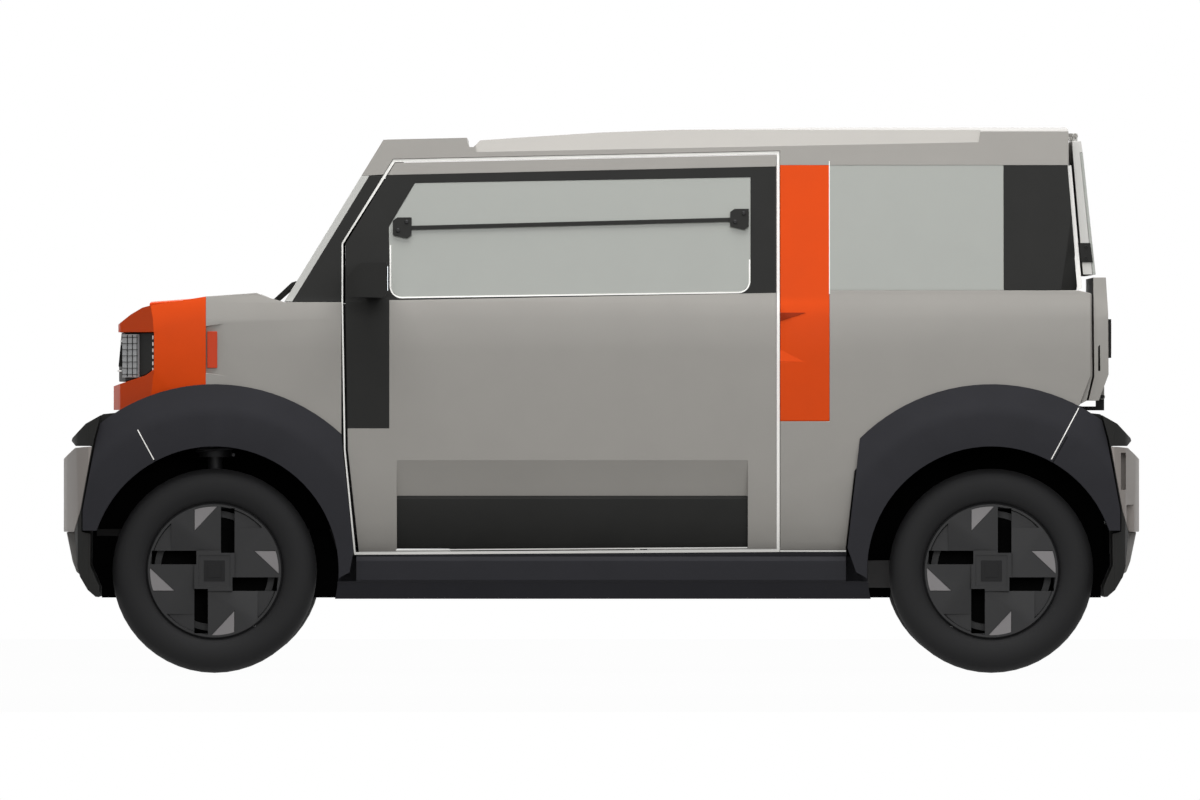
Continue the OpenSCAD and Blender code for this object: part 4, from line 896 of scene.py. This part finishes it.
LAMP_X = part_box("tail_lamps")[1].x
TAIL_LOW, TAIL_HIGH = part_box("tail_lamps")[0].z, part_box("tail_lamps")[1].z
TAIL_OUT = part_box("tail_lamps")[1].y
LAMP_W = 0.100
LAMP_RIM = 4 * MM

mesh = bmesh.new()
for hand, s in SIDES:
    for k in range(5):
        x, y = LAMP_X - 0.6 * MM, s * (TAIL_OUT - 0.010 - 0.020 * k)
        add_tube(mesh, [(x, y, TAIL_LOW + 8 * MM), (x, y, TAIL_HIGH - 8 * MM)], 1.6 * MM, 10)
finish_piece(mesh, "tail_lamp_ribs", LOOKS["lens_red"], "tailgate", bevel=0)

mesh = bmesh.new()
for hand, s in SIDES:
    y0, y1 = s * (TAIL_OUT - LAMP_W), s * TAIL_OUT
    rim = s * LAMP_RIM
    low, high = TAIL_LOW - LAMP_RIM, TAIL_HIGH + LAMP_RIM
    for a, b, z0, z1 in ((y1, y1 + rim, low, high), (y0 - rim, y0, low, high), (y0, y1, low, TAIL_LOW),
                         (y0, y1, TAIL_HIGH, high)):
        add_box(mesh, (LAMP_X - 8.4 * MM, a, z0), (LAMP_X + 0.5 * MM, b, z1))
finish_piece(mesh, "tail_lamp_frames", LOOKS["black_trim"], "tailgate", bevel=1 * MM)

mesh = bmesh.new()
pull = [(TAIL_X - 0.0935, 1.012), (TAIL_X - 0.0895, 1.016), (TAIL_X - 0.0905, 1.044), (TAIL_X - 0.0945, 1.048)]
add_crosswise(mesh, pull, -0.13, 0.13)
add_crosswise(mesh, [(x + 2.2 * MM, 1.030 + 0.4 * (z - 1.030)) for x, z in pull], -0.11, 0.11)
finish_piece(mesh, "tailgate_pull", LOOKS["black_trim"], "tailgate", bevel=0.8 * MM)

mesh = bmesh.new()
for hand, s in SIDES:
    out = side_y(0.88) - 12 * MM
    add_crosswise(mesh, [(TAIL_X - 0.117, 0.840), (TAIL_X - 0.117, 0.908), (TAIL_X - 0.112, 0.912),
                         (TAIL_X - 0.111, 0.840)], s * (out - 2 * MM), s * (out + 0.6 * MM))
finish_piece(mesh, "tailgate_side_slots", LOOKS["liner"], "tailgate", bevel=0.4 * MM)

mesh = bmesh.new()
for hand, s in SIDES:
    out = side_y(1.17) - 30 * MM
    add_crosswise(mesh, [(TAIL_X - 0.163, 1.142), (TAIL_X - 0.170, 1.196), (TAIL_X - 0.138, 1.196),
                         (TAIL_X - 0.131, 1.142)], s * (out - 1 * MM), s * (out + 9 * MM))
    for z in (1.153, 1.185):
        add_screw(mesh, (TAIL_X - 0.150, s * (out + 9 * MM), z), (0, s, 0), 5 * MM, 3 * MM)
finish_piece(mesh, "hatch_latches", LOOKS["black_trim"], "hatch", bevel=1 * MM)


# Springs on the struts and the rear axle


def helix(x, y, z0, z1, radius, turns):
    count = turns * 18
    return [(x + radius * math.cos(2 * math.pi * k / 18), y + radius * math.sin(2 * math.pi * k / 18),
             z0 + (z1 - z0) * k / count) for k in range(count + 1)]


for hand, s in SIDES:
    mesh = bmesh.new()
    add_tube(mesh, helix(FRONT_AXLE.x, s * (WHEEL_Y - 0.110), 0.606, 0.714, 0.051, 5), 5 * MM)
    finish_piece(mesh, "front_spring_" + hand, COIL, "knuckle_" + hand, bevel=0)
    mesh = bmesh.new()
    add_tube(mesh, helix(REAR_AXLE.x - 0.060, s * (WHEEL_Y - 0.170), 0.320, 0.440, 0.050, 5), 5.5 * MM)
    finish_piece(mesh, "rear_spring_" + hand, COIL, "body", bevel=0)


# Dashboard: blank screen and vents

DASH_X = DOOR_FRONT + 0.050

mesh = bmesh.new()
screen = ((-0.006, 0.950), (-0.024, 1.062), (-0.012, 1.064), (0.008, 0.952))
add_crosswise(mesh, [(DASH_X + x, z) for x, z in screen], -0.14, 0.14)
finish_piece(mesh, "dash_screen", SCREEN, "body", bevel=3 * MM)

mesh = bmesh.new()
for y in (-0.50, -0.20, 0.20, 0.50):
    for k in range(5):
        z = 0.915 + 0.010 * k
        x = DASH_X + 0.018 - 0.17 * (z - 0.900)
        add_box(mesh, (x - 0.004, y - 0.05, z), (x + 0.004, y + 0.05, z + 0.003))
finish_piece(mesh, "dash_vents", LOOKS["black_trim"], "body", bevel=0.8 * MM)


# Camera, light and floor

PHOTO_W = 3.336
PHOTO_CENTRE = Vector((-0.004, -HALF_W, 0.759))
CAMERA_AWAY = 90.0

camera = bpy.data.objects.new("camera", bpy.data.cameras.new("camera"))
bpy.context.scene.collection.objects.link(camera)
camera.data.sensor_width = 36.0
camera.data.lens = camera.data.sensor_width * CAMERA_AWAY / PHOTO_W
camera.data.clip_start, camera.data.clip_end = 1.0, 2000.0
camera.location = PHOTO_CENTRE - Vector((0, CAMERA_AWAY, 0))
camera.rotation_euler = (math.pi / 2, 0, 0)
bpy.context.scene.camera = camera


def seen_directly(tree):
    """1 for rays that look at a surface: from the camera, a reflection or through glass."""
    path = tree.nodes.new("ShaderNodeLightPath")
    total = path.outputs["Is Camera Ray"]
    for ray in ("Is Glossy Ray", "Is Transmission Ray"):
        join = tree.nodes.new("ShaderNodeMath")
        join.operation = "MAXIMUM"
        tree.links.new(total, join.inputs[0])
        tree.links.new(path.outputs[ray], join.inputs[1])
        total = join.outputs["Value"]
    return total


def white_world(level):
    """White to look at, and an even studio light at the given level."""
    world = bpy.data.worlds.new("studio")
    world.use_nodes = True
    tree = world.node_tree
    sky = tree.nodes["Background"]
    sky.inputs["Color"].default_value = (1, 1, 1, 1)
    strength = node(tree, "MapRange", To_Min=level, To_Max=1.0)
    tree.links.new(seen_directly(tree), strength.inputs["Value"])
    tree.links.new(strength.outputs["Result"], sky.inputs["Strength"])
    bpy.context.scene.world = world


def pale_floor(reach, shown):
    """Pale floor that keeps a faint shadow: part of what the camera sees of it is plain white."""
    mesh = bmesh.new()
    bmesh.ops.create_grid(mesh, x_segments=1, y_segments=1, size=reach)
    data = bpy.data.meshes.new("floor")
    mesh.to_mesh(data)
    mesh.free()
    floor = bpy.data.objects.new("floor", data)
    bpy.context.scene.collection.objects.link(floor)
    made = bpy.data.materials.new("studio_floor")
    made.use_nodes = True
    tree = made.node_tree
    tree.nodes.remove(tree.nodes["Principled BSDF"])
    matte = node(tree, "BsdfDiffuse", Color=(0.21, 0.21, 0.206, 1))
    white = node(tree, "Emission", Color=(1, 1, 1, 1), Strength=1.0)
    mix = tree.nodes.new("ShaderNodeMixShader")
    share = node(tree, "MapRange", To_Min=0.0, To_Max=shown)
    tree.links.new(seen_directly(tree), share.inputs["Value"])
    tree.links.new(share.outputs["Result"], mix.inputs["Fac"])
    tree.links.new(matte.outputs["BSDF"], mix.inputs[1])
    tree.links.new(white.outputs["Emission"], mix.inputs[2])
    tree.links.new(mix.outputs["Shader"], tree.nodes["Material Output"].inputs["Surface"])
    data.materials.append(made)


def soft_lamp(name, place, target, size, watts):
    lamp = bpy.data.lights.new(name, "AREA")
    lamp.shape, lamp.size, lamp.size_y = "RECTANGLE", size[0], size[1]
    lamp.energy = watts
    made = bpy.data.objects.new(name, lamp)
    bpy.context.scene.collection.objects.link(made)
    made.location = place
    made.rotation_euler = (Vector(target) - Vector(place)).to_track_quat("-Z", "Y").to_euler()


WORLD_LEVEL = 0.30
FLOOR_REACH, FLOOR_WHITE = 12.0, 0.98
OVERHEAD_WATTS, SIDE_WATTS, FAR_WATTS = 360, 165, 110

white_world(WORLD_LEVEL)
pale_floor(FLOOR_REACH, FLOOR_WHITE)
soft_lamp("overhead", (0, -1.5, 6.0), (0, 0, 0.6), (6, 4), OVERHEAD_WATTS)
soft_lamp("side_fill", (1.0, -7.0, 2.5), (0, 0, 0.8), (6, 3), SIDE_WATTS)
soft_lamp("far_fill", (1.5, 7.0, 3.0), (0, 0, 0.8), (6, 3), FAR_WATTS)

bpy.context.scene.view_settings.view_transform = "Standard"
